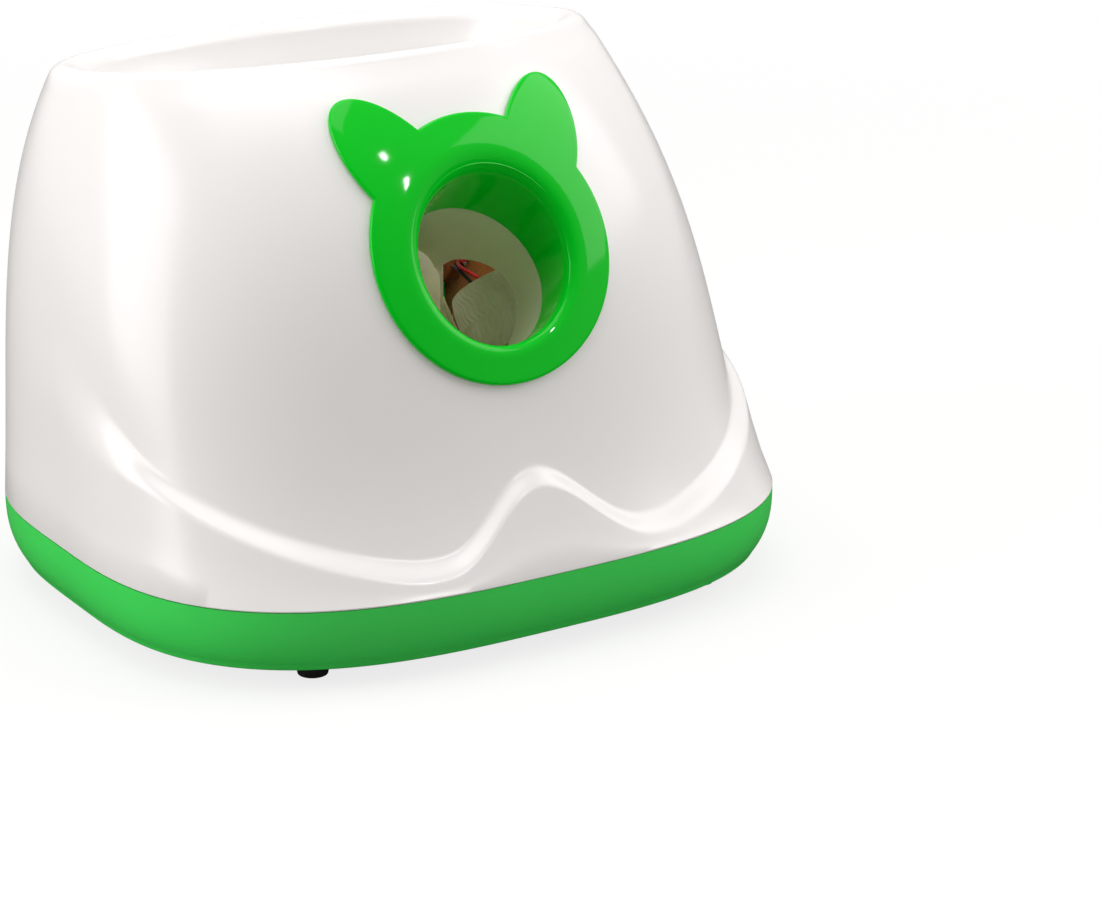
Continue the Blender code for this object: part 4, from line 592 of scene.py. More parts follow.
# Shrunk film: near black with a cold tinge, and a clear gloss that varies where it has drawn tight
sleeve = surfaced("shrunk_film_sleeve", "cell_jacket", ("23252B", "2C2F36"), (6.0, 3.0), (6.0, 3.0, 0.22, 0.38),
                  None, Coat_Weight=0.3)
# The cell's pressed ends: nickel-plated sheet, pale and faintly brushed
steel_end = metal("nickel_plated_cell_end", "zinc_plated_steel", ("C2BFB6", "D9D6CE"), 0.2, 0.34, 3.0)
CELL_ROUND = 0.0012
CELL_CRIMP = 0.0008
NUB_RADIUS = 0.003
SLEEVE_LAP = 0.0022
lap_radius = CELL_RADIUS - SLEEVE_LAP
nub_top = CELL_LENGTH + CELL_NUB
sleeve_profile = [(lap_radius, CELL_LENGTH)]
sleeve_profile += arc(CELL_RADIUS - CELL_ROUND, CELL_LENGTH - CELL_ROUND, CELL_ROUND, 1, 0, 5)
sleeve_profile += arc(CELL_RADIUS - CELL_ROUND, CELL_ROUND, CELL_ROUND, 0, -1, 5) + [(lap_radius, 0)]
end_profile = [(0, nub_top), (NUB_RADIUS - GAP, nub_top), (NUB_RADIUS, nub_top - GAP),
               (NUB_RADIUS, CELL_LENGTH - CELL_CRIMP / 2), (lap_radius, CELL_LENGTH - CELL_CRIMP / 2),
               (lap_radius, CELL_CRIMP / 2), (0, CELL_CRIMP / 2)]
number = 0
for row in (-1, 0, 1):
    for side in (-1, 1):
        number += 1
        outward = 1 if side == row or (row == 0 and side < 0) else -1
        across = side * (cell_start if outward > 0 else cell_end)
        run = at(across, BATTERY_MIDDLE + row * CELL_PITCH, FLOOR_TOP + GAP + CELL_RADIUS)
        run = run @ spun(outward * side * QUARTER, "Y")
        name = "battery_cell_" + str(number)
        add_piece(name + "_sleeve", turned(sleeve_profile, 48, run), sleeve, [name])
        add_piece(name + "_ends", turned(end_profile, 48, run), steel_end)

# The door is the same green as the tub, with a row of raised grip ribs
from_node("battery_door_panel", "battery_door", band_green, "door", bevel=0.0004)
RIB_LONG = 0.022
RIB_PROUD = 0.0004
RIB_PITCH = 0.0022
RIB_FROM_EDGE = 0.0225
rib_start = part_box("battery_door")[1].y - RIB_FROM_EDGE
for index in range(4):
    lie = at(0, rib_start - index * RIB_PITCH, FOOT_HEIGHT) @ spun(QUARTER, "Y")
    add_piece("door_grip_rib_%d" % (index + 1), rod(RIB_PROUD, *span(RIB_LONG), lie, 16), band_green, (), "door")


# Barrel frame: x across, y up square to the barrel and z outward along it, from the centre of the port.
# Motor mounts: two inclined decks on cheeks, moulded in grey glass-filled ABS with a fine spark-eroded face.
BARREL_PITCH = math.radians(38.5)
PORT_HEIGHT = 0.1656
BALL_DIAMETER = 0.0635
BALL_ROOM = 0.003
BORE_RADIUS = BALL_DIAMETER / 2 + BALL_ROOM
BARREL_WALL = 0.0022
BARREL_RADIUS = BORE_RADIUS + BARREL_WALL
BEZEL_DEPTH = 0.0285
BALL_REST_DEPTH = 0.140
BARREL_END_DEPTH = 0.174
SURFACE_PASSES = 9


def front_surface(across, height):
    """The y of the body's front at one x and z."""
    share = (height - SEAM_HEIGHT) / SHELL_HEIGHT
    for _ in range(SURFACE_PASSES):
        half_width, front, rear = plan_at(share)
        power = FRONT_POWERS[0] + (FRONT_POWERS[1] - FRONT_POWERS[0]) * share
        fraction = min(abs(across) / half_width, 0.999)
        run = -(front + rear) / 2 * (1 - fraction ** power) ** (1 / power)
        share = (height - SEAM_HEIGHT - rim_slope(share) * run) / SHELL_HEIGHT
    return (rear - front) / 2 + run + PLAN_SHIFT


PORT_CENTRE = Vector((0, front_surface(0, PORT_HEIGHT), PORT_HEIGHT))
OUTWARD = Vector((0, -math.cos(BARREL_PITCH), math.sin(BARREL_PITCH)))
UPWARD = Vector((0, math.sin(BARREL_PITCH), math.cos(BARREL_PITCH)))
BARREL = Matrix.Translation(PORT_CENTRE) @ spun(QUARTER - BARREL_PITCH, "X")


def in_barrel(across, up, depth):
    return PORT_CENTRE + Vector((across, 0, 0)) + UPWARD * up - OUTWARD * depth


grey_abs = moulded_plastic("moulded_grey_abs", "grey_abs", ("636568", "6E7073"), 0.5, 0.6, 0.00003)
for _, label in SIDES:
    from_node("motor_mount_" + label + "_moulding", "motor_mount_" + label, grey_abs, bevel=0.0004)


# Launch motors: two brushed DC motors under the decks, each a drawn steel can with a black end bell.
# The can is zinc-plated sheet, drawn deep, so fine vertical marks run down its side.
WHEEL_ACROSS = 0.055
WHEEL_DEPTH = 0.0865
DECK_DROP = 0.0195
DECK_PLATE = 0.003
MOTOR_RADIUS = 0.018
MOTOR_LENGTH = 0.057
BOSS_RADIUS = 0.0055
BOSS = 0.0022
MOTOR_EDGE = 0.002
END_BELL = 0.009
TAG_SIZE = (0.0024, 0.0004, 0.0022)
TAG_APART = 0.003
SHAFT_RADIUS = 0.0016
SHAFT_TOP = 0.014
VENTS = 6
VENT_RADIUS = 0.0016
VENT_DEEP = 0.0012
VENT_OUT = 0.01116
can = metal("drawn_motor_can", "motor_can", ("A3A7AC", "BFC2C6"), 0.2, 0.36, 1.0, (6.0, 1.0, 1.0))
motor_face = -DECK_DROP - DECK_PLATE - GAP
boss_top = motor_face + BOSS
can_low = motor_face - MOTOR_LENGTH + END_BELL
bell_low = motor_face - MOTOR_LENGTH
can_profile = [(0, boss_top), (BOSS_RADIUS - GAP, boss_top), (BOSS_RADIUS, boss_top - GAP),
               (BOSS_RADIUS, motor_face)]
can_profile += arc(MOTOR_RADIUS - MOTOR_EDGE, motor_face - MOTOR_EDGE, MOTOR_EDGE, 1, 0, 6)
can_profile += [(MOTOR_RADIUS, can_low), (MOTOR_RADIUS - GAP, can_low - GAP), (0, can_low - GAP)]
bell_profile = [(0, can_low - GAP * 2), (MOTOR_RADIUS - GAP, can_low - GAP * 2)]
bell_profile += arc(MOTOR_RADIUS - GAP - MOTOR_EDGE, bell_low + MOTOR_EDGE, MOTOR_EDGE, 0, -1, 5)
bell_profile += [(BOSS_RADIUS, bell_low), (BOSS_RADIUS - GAP, bell_low - BOSS), (0, bell_low - BOSS)]
shaft_profile = [(0, SHAFT_TOP), (SHAFT_RADIUS - GAP, SHAFT_TOP), (SHAFT_RADIUS, SHAFT_TOP - GAP),
                 (SHAFT_RADIUS, boss_top + GAP), (0, boss_top + GAP)]
# Ground shaft steel: the brightest metal here, with fine marks round it
ground_steel = metal("ground_steel_shaft", "zinc_plated_steel", ("B7BABE", "CFD1D4"), 0.14, 0.26, 0.8,
                     (1.0, 1.0, 4.0))


def wheel_place(side):
    """Frame of a wheel: z along its shaft, square to the barrel."""
    return BARREL @ at(side * WHEEL_ACROSS, 0, -WHEEL_DEPTH) @ spun(-QUARTER, "X")


for side, label in SIDES:
    place = wheel_place(side)
    name = "launch_motor_" + label
    add_piece(name + "_can", turned(can_profile, 72, place), can, [name])
    bell = add_piece(name + "_end_bell", turned(bell_profile, 72, place), black_abs)
    for index in range(VENTS):
        spot = place @ spun(2 * math.pi * index / VENTS) @ at(VENT_OUT, 0, bell_low)
        carve(bell, rod(VENT_RADIUS, -VENT_DEEP, VENT_DEEP, spot, 20))
    settle(bell)
    for sign, end in ((-1, "near"), (1, "far")):
        tag = box((span(TAG_SIZE[0]), span(TAG_SIZE[1]), (-GAP * 2, TAG_SIZE[2])),
                  place @ at(sign * (BOSS_RADIUS + TAG_APART), 0, bell_low))
        add_piece(name + "_tag_" + end, tag, nickel)
    name = "motor_shaft_" + label
    add_piece(name + "_ground", turned(shaft_profile, 32, place), ground_steel, [name], "wheel_" + label)


# Launch wheels: a spoked hub pressed on each motor shaft, with a pale rubber tyre moulded round it.
# The tyre's tread is a wavy chevron that grips the ball; silicone rubber, slightly see-through and dull.
WHEEL_RADIUS = 0.027
WHEEL_HALF_WIDTH = 0.0165
TYRE_INNER = 0.0205
TYRE_CROWN = 0.0012
TYRE_SHOULDER = 0.06
TREAD_DEEP = 0.0006
TREAD_ROUND = 52
TREAD_SWEEP = 2.3
TREAD_WAVE = 0.35
TREAD_RIPPLE = 9
TREAD_STEEP = 0.95
TYRE_STEPS = 416
TYRE_ROWS = 40
HUB_RIM = 0.0022
HUB_WEB = 0.0025
HUB_BOSS = 0.006
SPOKES = 5
SEEN_INTO = (1.0, 1.0, 0.8)
TREAD_EDGE = math.radians(50)
SPOKE = 0.0022
SPOKE_END = WHEEL_HALF_WIDTH * 0.7
hub_radius = TYRE_INNER - GAP
hub_inner = hub_radius - HUB_RIM
half_hub = [(SHAFT_RADIUS + GAP / 6, WHEEL_HALF_WIDTH), (HUB_BOSS - GAP, WHEEL_HALF_WIDTH),
            (HUB_BOSS, WHEEL_HALF_WIDTH - GAP), (HUB_BOSS, HUB_WEB), (hub_inner, HUB_WEB),
            (hub_inner, WHEEL_HALF_WIDTH - GAP), (hub_inner + GAP, WHEEL_HALF_WIDTH),
            (hub_radius, WHEEL_HALF_WIDTH)]
hub_profile = half_hub + [(radius, -height) for radius, height in reversed(half_hub)] + half_hub[:1]


def tread_height(turn, across):
    """Height of the tread at one angle and one place across it, from 0 in a groove to 1 on a rib."""
    sweep = TREAD_SWEEP * abs(across) + TREAD_WAVE * math.sin(TREAD_RIPPLE * abs(across))
    return min(max(0.5 + TREAD_STEEP * math.sin(TREAD_ROUND * turn + 2 * math.pi * sweep), 0.0), 1.0)


def tyre_mesh(place):
    turns = [2 * math.pi * index / TYRE_STEPS for index in range(TYRE_STEPS)]
    rows = []
    for step in range(TYRE_ROWS + 1):
        across = -1 + 2 * step / TYRE_ROWS
        crown = TYRE_CROWN * max(abs(across) * 2 - 1, 0.0) ** 2
        fade = min((1 - abs(across)) / TYRE_SHOULDER, 1.0)
        rows.append((across, [WHEEL_RADIUS - crown - TREAD_DEEP * (1 - tread_height(turn, across)) * fade
                              for turn in turns]))
    rows += [(side, [TYRE_INNER] * TYRE_STEPS) for side in (1, -1)]
    rows = [[place @ Vector((radius * math.cos(turn), radius * math.sin(turn), across * WHEEL_HALF_WIDTH))
             for radius, turn in zip(radii, turns)] for across, radii in rows]
    return loft("tyre", rows, wrap_rows=True)


# Off-white silicone: its yellow-green tint is painted green bounce light, and the paler patches are wear
pale_rubber = rubber("moulded_pale_silicone_rubber", "pale_rubber", ("CBCCA7", "D8D9BA"), 0.5, 0.5,
                     Subsurface_Weight=0.25, Subsurface_Radius=SEEN_INTO, Subsurface_Scale=0.0015)
for side, label in SIDES:
    place = wheel_place(side)
    body = "wheel_" + label
    hub = add_piece("launch_wheel_" + label + "_hub", turned(hub_profile, 72, place), grey_abs,
                    ["launch_wheel_" + label], body)
    for index in range(SPOKES):
        for heights in ((HUB_WEB - GAP, SPOKE_END), (-SPOKE_END, -HUB_WEB + GAP)):
            carve(hub, box(((HUB_BOSS - GAP, hub_inner + GAP), span(SPOKE), heights),
                           place @ spun(2 * math.pi * index / SPOKES)), "UNION")
    settle(hub)
    add_piece("wheel_tyre_" + label + "_tread", tyre_mesh(place), pale_rubber, ["wheel_tyre_" + label], body,
              TREAD_EDGE)


# Launch barrel: a milky polypropylene tube behind the port, with a round window for each wheel.
# It is open above the waiting ball and at the low end, where the feed arm comes in between two lugs.
WINDOW_DEPTH = 0.081
WINDOW_RADIUS = 0.0285
DECK_START = 0.045
DECK_END = 0.130
LUG_LENGTH = 0.009
LUG_INNER = 0.028
LUG_OUTER = 0.044
LUG_TOP = 0.011
EAR_PLATE = 0.0024
EAR_START = 0.158
EAR_HALF = 0.008
PIVOT_DEPTH = 0.177
PIVOT_UP = 0.050
FEED_SHAFT_RADIUS = 0.003
REAR_OPEN_DEPTH = 0.148
SENSOR_DEPTH = 0.134
SENSOR_HOLE = 0.0022
DROP_RADIUS = 0.0338
NECK_RADIUS = 0.0352
NECK_TOP = 0.146
SENSOR_ANGLE = math.radians(-24)
BALL_REST = in_barrel(0, 0, BALL_REST_DEPTH)
AXLE_TURN = spun(QUARTER, "Y")
PIVOT = BARREL @ at(0, PIVOT_UP, -PIVOT_DEPTH) @ AXLE_TURN.inverted()
DROP_PLACE = at(0, BALL_REST.y)

# Natural polypropylene without pigment: milky, softly lit through its wall, with a satin face; its yellow-green
# tint is painted green bounce light
milky_pp = moulded_plastic("moulded_milky_polypropylene", "milky_polypropylene", ("D2D2B3", "DDDDBF"), 0.34,
                           1.2, 0.00001, IOR=1.49, Subsurface_Weight=0.5, Subsurface_Scale=0.003,
                           Subsurface_Radius=SEEN_INTO)


def barrel_box(across, up, depth):
    """A box in the barrel's frame, with depth counted inward."""
    return box((sorted(across), up, (-depth[1], -depth[0])), BARREL)


def eye_place(side):
    """Frame of the sensor's eye at one side: z outward from the barrel's axis."""
    turn = SENSOR_ANGLE if side > 0 else math.pi - SENSOR_ANGLE
    return BARREL @ at(0, 0, -SENSOR_DEPTH) @ spun(turn) @ AXLE_TURN


tube = add_piece("milky_launch_tube", rod(BARREL_RADIUS, -BARREL_END_DEPTH, -BEZEL_DEPTH - GAP, BARREL, 128),
                 milky_pp, ["launch_tube"])
for side in (-1, 1):
    for start in (DECK_START, DECK_END - LUG_LENGTH):
        carve(tube, barrel_box((side * LUG_INNER, side * LUG_OUTER), (-DECK_DROP + GAP, -LUG_TOP),
                               (start, start + LUG_LENGTH)), "UNION")
    carve(tube, barrel_box((side * (BORE_RADIUS + GAP), side * (BORE_RADIUS + GAP + EAR_PLATE)),
                           (-EAR_HALF, PIVOT_UP + EAR_HALF), (EAR_START, PIVOT_DEPTH + EAR_HALF)), "UNION")
carve(tube, rod(NECK_RADIUS, BALL_REST.z, NECK_TOP, DROP_PLACE, 128), "UNION")
carve(tube, rod(BORE_RADIUS, -BARREL_END_DEPTH - EAR_HALF * 2, -BEZEL_DEPTH + OVERRUN, BARREL, 128))
for side in (-1, 1):
    low, high = sorted((side * BORE_RADIUS / 2, side * (BARREL_RADIUS + OVERRUN)))
    carve(tube, rod(WINDOW_RADIUS, low, high, BARREL @ at(0, 0, -WINDOW_DEPTH) @ AXLE_TURN, 96))
    carve(tube, rod(SENSOR_HOLE, BORE_RADIUS - OVERRUN, BARREL_RADIUS + OVERRUN, eye_place(side), 24))
carve(tube, rod(DROP_RADIUS, BALL_REST.z, PORT_HEIGHT, DROP_PLACE, 96))
carve(tube, barrel_box((-BORE_RADIUS, BORE_RADIUS), (0, PIVOT_UP),
                       (REAR_OPEN_DEPTH, BARREL_END_DEPTH + OVERRUN)))
carve(tube, rod(FEED_SHAFT_RADIUS + GAP, -LUG_OUTER, LUG_OUTER, PIVOT, 32))
settle(tube)


# Ball sensor: an emitter and a receiver that look across the barrel at the waiting ball.
# Small black housings, each with a dark tinted lens that points through a hole in the tube.
EYE_RADIUS = 0.0017
EYE_INSET = 0.0008
dark_lens = moulded_plastic("dark_tinted_lens", "black_abs", ("1B1413", "14100F"), 0.08, 3.0, 0.000002)
eye_profile = arc(0, BORE_RADIUS + EYE_INSET + EYE_RADIUS, EYE_RADIUS, -1, 0, 6)
eye_profile += [(EYE_RADIUS, BARREL_RADIUS + GAP * 2), (0, BARREL_RADIUS + GAP * 2)]
for side, label in ((-1, "ball_sensor_emitter"), (1, "ball_sensor_receiver")):
    from_node(label + "_housing", label, black_abs)
    add_piece(label + "_lens", turned(eye_profile, 24, eye_place(side)), dark_lens)


# Feed arm: a paddle on a steel shaft that pushes the waiting ball up into the wheels, and its geared motor.
# The arm and the gear case are moulded in black ABS; the small motor on the case has a plated can.
from_node("feed_arm_moulding", "feed_arm", black_abs, "feeder", 0.0005)
from_node("feed_shaft_ground", "feed_shaft", ground_steel, "feeder")
from_node("feed_gear_case", "feed_motor", black_abs, bevel=0.0005)
FEED_BOX = 0.022
FEED_CAN = 0.030
FEED_CAN_RADIUS = 0.012
CASE_SCREW_OUT = 0.01482
CASE_SCREW_RADIUS = 0.0022
CASE_SCREW_DOME = 0.0018
WRAP_OUT = FEED_CAN_RADIUS + 0.0002
WRAP_IN = FEED_CAN_RADIUS - 0.0001
WRAP_SHARE = 0.7
can_start = BORE_RADIUS + GAP + EAR_PLATE + GAP + FEED_BOX
head_profile = [(0, can_start + GAP * 2), (CASE_SCREW_DOME, can_start + 0.0004), (CASE_SCREW_RADIUS, can_start),
                (0, can_start)]
for sign_x in (-1, 1):
    for sign_y in (-1, 1):
        add_piece("gear_case_screw_%d" % (sign_x + 1 + (sign_y + 1) // 2),
                  turned(head_profile, 24, PIVOT @ at(sign_x * CASE_SCREW_OUT, sign_y * CASE_SCREW_OUT)), zinc)
low, high = can_start + GAP, can_start + FEED_CAN * WRAP_SHARE
wrap = [(WRAP_OUT, low), (WRAP_OUT, high), (WRAP_IN, high), (WRAP_IN, low), (WRAP_OUT, low)]
add_piece("feed_motor_can_sleeve", turned(wrap, 64, PIVOT), can)


# Hopper: the bowl under the rim and the throat that drops a ball in front of the feed arm.
# White ABS like the shell, glossy, seen from above as one smooth surface with the inside of the rim.
SHELL_WALL = 0.0026
ROLL_RADIUS = 0.0076
ROLL_INSET = 0.0048
LIP_DEPTH = 0.032
LIP_LEAN = 0.30
EDGE_LAND = 0.002
FUNNEL_WALL = 0.002
THROAT_RADIUS = 0.0355
THROAT_TOP = 0.160
THROAT_BOTTOM = 0.114
FUNNEL_BARREL_GAP = 0.001
BOWL_ROWS = 26
BOWL_EDGE = math.radians(40)
bowl_curve = np.polyfit((0.0, 0.34, 0.70, 0.92, 1.0), (0.0, 0.30, 0.62, 0.88, 1.0), 3)

# Glossy white ABS, polished tool: bright and slightly warm, with sharp lamp reflections over a soft body
white_abs = moulded_plastic("moulded_white_abs", "white_abs", ("EEECEB", "F1F0EF"), 0.23, 2.4, 0.000003)


def rim_row(turn, depth):
    """A row on the rolled rim, or further down the lip inside it."""
    out = ROLL_RADIUS * math.cos(turn) - ROLL_INSET - depth * LIP_LEAN
    rise = Vector((0, 0, ROLL_RADIUS * math.sin(turn) - ROLL_RADIUS - depth))
    return [body_point(angle, 1.0, out) + rise for angle in ANGLES]


def throat_row(height):
    return [Vector((THROAT_RADIUS * math.sin(angle), BALL_REST.y - THROAT_RADIUS * math.cos(angle), height))
            for angle in ANGLES]


top_row = rim_row(math.pi, LIP_DEPTH + EDGE_LAND)
rows = [top_row]
for step in range(1, BOWL_ROWS + 1):
    plan = step / BOWL_ROWS
    drop = min(max(float(np.polyval(bowl_curve, plan)), 0.0), 1.0)
    row = [outer.lerp(inner, plan) for outer, inner in zip(top_row, throat_row(THROAT_TOP))]
    for point, outer in zip(row, top_row):
        point.z = outer.z + (THROAT_TOP - outer.z) * drop
    rows.append(row)
rows.append(throat_row(THROAT_BOTTOM))
bowl = add_piece("white_hopper_bowl", loft("bowl", rows, outward=False), white_abs, ["hopper_funnel"])
thicken(bowl, FUNNEL_WALL)
carve(bowl, barrel_box((-HALF_WIDTH, HALF_WIDTH), (-BARREL_RADIUS, BARREL_RADIUS + FUNNEL_BARREL_GAP),
                       (0, BARREL_END_DEPTH + BARREL_RADIUS)))
settle(bowl, BOWL_EDGE)


# Control board: a phenolic-paper board held on edge in the tub's guide posts, its parts on the inner face.
# Punched brown paper laminate, with a relay, a chip, power transistors, capacitors, resistors and a buzzer.
BOARD_EDGE = 0.0001
board_face = BOARD_ACROSS - BOARD_THICKNESS / 2

# Phenolic paper: warm brown, mottled by the paper's fibres, with a resin gloss
phenolic = surfaced("phenolic_paper_laminate", "phenolic_board", ("9A6230", "BC8246"), (11.0, 6.0),
                    (11.0, 6.0, 0.35, 0.55), (1.1, 3.0, 0.00002), fibre=(1.1, 3.0), used=(0.14, 0.38))


def eased(mesh, width, segments=2):
    """Rounds every edge of a mesh."""
    work = bmesh.new()
    work.from_mesh(mesh)
    round_edges(work, work.edges[:], width, segments)
    return meshed(work, mesh.name)


def on_board(along, height):
    """Frame on the board's inner face: z out of it, toward the middle of the object."""
    return at(board_face, along, height) @ spun(-QUARTER, "Y")


board = box(((board_face, board_face + BOARD_THICKNESS), (BOARD_FRONT, BOARD_BACK), (BOARD_BOTTOM, BOARD_TOP)))
add_piece("phenolic_control_board", eased(board, BOARD_EDGE), phenolic, ["control_board"])
CAPACITORS = ((0.060, 0.096, 0.0040, 0.0075), (0.070, 0.094, 0.0030, 0.0065), (0.062, 0.034, 0.0045, 0.0080))
CAPACITOR_TOP = 0.0004
CAPACITOR_ROUND = 0.0006
for index, (along, height, radius, tall) in enumerate(CAPACITORS, 1):
    spot = on_board(along, height)
    recess = tall - CAPACITOR_TOP * 2
    jacket = [(0, GAP), (radius, GAP), (radius, tall - CAPACITOR_ROUND), (radius - CAPACITOR_ROUND, tall),
              (radius * 0.8, tall), (radius * 0.8, recess), (0, recess)]
    add_piece("capacitor_%d_sleeve" % index, turned(jacket, 40, spot), sleeve)
    add_piece("capacitor_%d_top" % index, rod(radius * 0.79, recess, recess + CAPACITOR_TOP, spot, 40), nickel)

# Moulded epoxy bodies: the relay, the chip and two power transistors, which have a bare metal tab
epoxy = moulded_plastic("moulded_black_epoxy", "black_abs", ("18181A", "1F1F21"), 0.5, 0.4, 0.00002)
RELAY = (0.019, 0.015, 0.0085)
RELAY_PLACE = on_board(0.110, 0.040)
CHIP = (0.019, 0.0065, 0.0034)
CHIP_PLACE = on_board(0.084, 0.062)
CHIP_LIFT = 0.0006
CHIP_LEGS = 7
CHIP_PITCH = 0.00254
CHIP_DOT = 0.0008
CHIP_DOT_ACROSS = -0.0085
LEG_WIDE = 0.0005
LEG_SPREAD = 0.0039
LEG_TALL = 0.0022
TRANSISTOR = (0.0100, 0.0090, 0.0045)
TAB = (0.0100, 0.0155, 0.0013)
TAB_HOLE = 0.0018
TRANSISTOR_PLACES = (0.034, 0.048)
TRANSISTOR_HEIGHT = 0.080


def block(size, low):
    return span(size[0]), span(size[1]), (low, low + size[2])


add_piece("relay_case", eased(box(block(RELAY, GAP), RELAY_PLACE), 0.0005), epoxy)
chip = add_piece("driver_chip", eased(box(block(CHIP, CHIP_LIFT), CHIP_PLACE), 0.0002), epoxy)
carve(chip, rod(CHIP_DOT, CHIP[2], CHIP[2] + 0.002, CHIP_PLACE @ at(CHIP_DOT_ACROSS), 20))
for index in range(CHIP_LEGS):
    across = span(LEG_WIDE, (index - (CHIP_LEGS - 1) / 2) * CHIP_PITCH)
    for side, label in ((-1, "low"), (1, "high")):
        leg = box((across, sorted((side * (CHIP[1] / 2 - GAP), side * LEG_SPREAD)), (0, LEG_TALL)), CHIP_PLACE)
        add_piece("chip_leg_%s_%d" % (label, index + 1), eased(leg, 0.0001, 1), nickel)
for index, along in enumerate(TRANSISTOR_PLACES, 1):
    spot = on_board(along, TRANSISTOR_HEIGHT) @ spun(QUARTER)
    tab = add_piece("transistor_%d_tab" % index, box(block(TAB, GAP), spot), nickel)
    carve(tab, rod(TAB_HOLE, -TAB[2], TAB[2] * 3, spot @ at(0, TAB[1] * 0.34), 28))
    settle(tab)
    case = box(block(TRANSISTOR, TAB[2] + GAP * 1.1), spot @ at(0, -TAB[1] / 2 + TRANSISTOR[1] / 2))
    add_piece("transistor_%d_body" % index, eased(case, 0.0004), epoxy)

# Carbon film resistors: a beige lacquered body with swollen ends, lying on the board on its own bent wires
RESISTOR_LONG = 0.0062
RESISTOR_RADIUS = 0.0011
RESISTOR_WAIST = 0.82
RESISTOR_PLACES = ((0.072, 0.074), (0.072, 0.050), (0.090, 0.074), (0.100, 0.070),
                   (0.096, 0.052), (0.078, 0.030), (0.088, 0.030), (0.056, 0.080))
WIRE_RADIUS = 0.0003
lacquer = moulded_plastic("beige_resistor_lacquer", "phenolic_board", ("BFA376", "CDB38A"), 0.35, 0.8, 0.00001)
resistor_profile = [(0, -RESISTOR_LONG / 2)]
for step in range(-6, 7):
    share = step / 6
    swell = RESISTOR_WAIST + (1 - RESISTOR_WAIST) * math.cos(3 * math.pi * share)
    radius = RESISTOR_RADIUS * swell * math.sqrt(1 - 0.6 * share ** 8)
    resistor_profile.append((radius, share * RESISTOR_LONG / 2 * 0.99))
resistor_profile.append((0, RESISTOR_LONG / 2))
for index, (along, height) in enumerate(RESISTOR_PLACES, 1):
    lie = on_board(along, height) @ at(0, 0, RESISTOR_RADIUS + GAP) @ spun(QUARTER, "X" if index % 2 else "Y")
    add_piece("resistor_%d" % index, turned(resistor_profile, 24, lie), lacquer)
    add_piece("resistor_%d_wire" % index, rod(WIRE_RADIUS, -RESISTOR_LONG, RESISTOR_LONG, lie, 12), nickel)

BUZZER_RADIUS = 0.006
BUZZER_INSET = 0.010
BUZZER_DROP = 0.015
BUZZER_HOLE = 0.0011
BUZZER_ROUND = 0.0006
BUZZER_HEIGHT = 0.008
BUZZER_WELL = 0.003
buzzer_top = GAP + BUZZER_HEIGHT
buzzer_profile = [(0, GAP), (BUZZER_RADIUS, GAP), (BUZZER_RADIUS, buzzer_top - BUZZER_ROUND),
                  (BUZZER_RADIUS - BUZZER_ROUND, buzzer_top), (BUZZER_HOLE + GAP, buzzer_top),
                  (BUZZER_HOLE, buzzer_top - GAP), (BUZZER_HOLE, buzzer_top - BUZZER_WELL),
                  (0, buzzer_top - BUZZER_WELL)]
# Brown phenolic resin, moulded: a dull, warm brown like the board behind it
buzzer_brown = moulded_plastic("moulded_brown_phenolic", "phenolic_board", ("7C4820", "8A5227"), 0.42, 1.0,
                               0.00001)
buzzer_place = on_board(BOARD_BACK - BUZZER_INSET, BOARD_TOP - BUZZER_DROP)
add_piece("buzzer_case", turned(buzzer_profile, 56, buzzer_place), buzzer_brown, ["buzzer"])


# Leads: two pairs of thin stranded leads, soldered to the board, to the right launch and the feed motor.
# Extruded soft PVC in red and black; a satin sheen and very slight dents along the run.
LEAD_RADIUS = 0.0009
LEAD_PAIR = 0.006
LEAD_RUN = 0.009
LEAD_SAMPLES = 14
SOLDER_RADIUS = 0.0014
FEED_ROUTE = ((-0.097, 0.104, 0.088), (-0.090, 0.128, 0.078), (-0.040, 0.138, 0.075),
              (0.040, 0.138, 0.074), (0.086, 0.128, 0.070), (0.098, 0.112, 0.066))
RED_ROUTE = ((0.090, -0.064, 0.041), (0.091, -0.030, 0.062), (0.091, 0.036, 0.095),
             (0.090, 0.082, 0.1036), (0.090, 0.098, 0.1054), (0.097, 0.111, 0.104))
BLACK_ROUTE = ((0.088, -0.061, 0.036), (0.088, -0.030, 0.054), (0.089, 0.036, 0.081),
               (0.090, 0.086, 0.0992), (0.090, 0.102, 0.104), (0.097, 0.115, 0.101))
red_pvc = moulded_plastic("extruded_red_pvc", "red_wire", ("98171C", "A81A20"), 0.36, 2.0, 0.00003)
black_pvc = moulded_plastic("extruded_black_pvc", "black_wire", ("151516", "1B1B1C"), 0.36, 2.0, 0.00003)
# Tin solder: small bright blobs, a little clouded
solder = metal("tin_solder", "zinc_plated_steel", ("A9ABAD", "C4C6C8"), 0.16, 0.34, 1.0)


def add_lead(name, knots, finish):
    """A round lead on a smooth path through its knots and on to the board, for the node of its name."""
    last = knots[-1]
    knots = knots + [Vector((board_face - GAP * 2 - run, last.y, last.z)) for run in (LEAD_RUN / 3, 0)]
    padded = knots[:1] + knots + knots[-1:]
    path = []
    for before, start, end, after in zip(padded, padded[1:], padded[2:], padded[3:]):
        for step in range(LEAD_SAMPLES):
            share = step / LEAD_SAMPLES
            bend = (end - before) * share + (before * 2 - start * 5 + end * 4 - after) * share ** 2
            bend += (start * 3 - before - end * 3 + after) * share ** 3
            path.append(start + bend / 2)
    path.append(knots[-1])
    curve = bpy.data.curves.new(name, "CURVE")
    curve.dimensions = "3D"
    curve.bevel_depth = LEAD_RADIUS
    curve.bevel_resolution = 5
    curve.use_fill_caps = True
    spline = curve.splines.new("POLY")
    spline.points.add(len(path) - 1)
    for point, spot in zip(spline.points, path):
        point.co = (*spot, 1.0)
    spline.use_smooth = True
    enter(bpy.data.objects.new(name + "_pvc", curve), finish, "housing", [name])
    return last


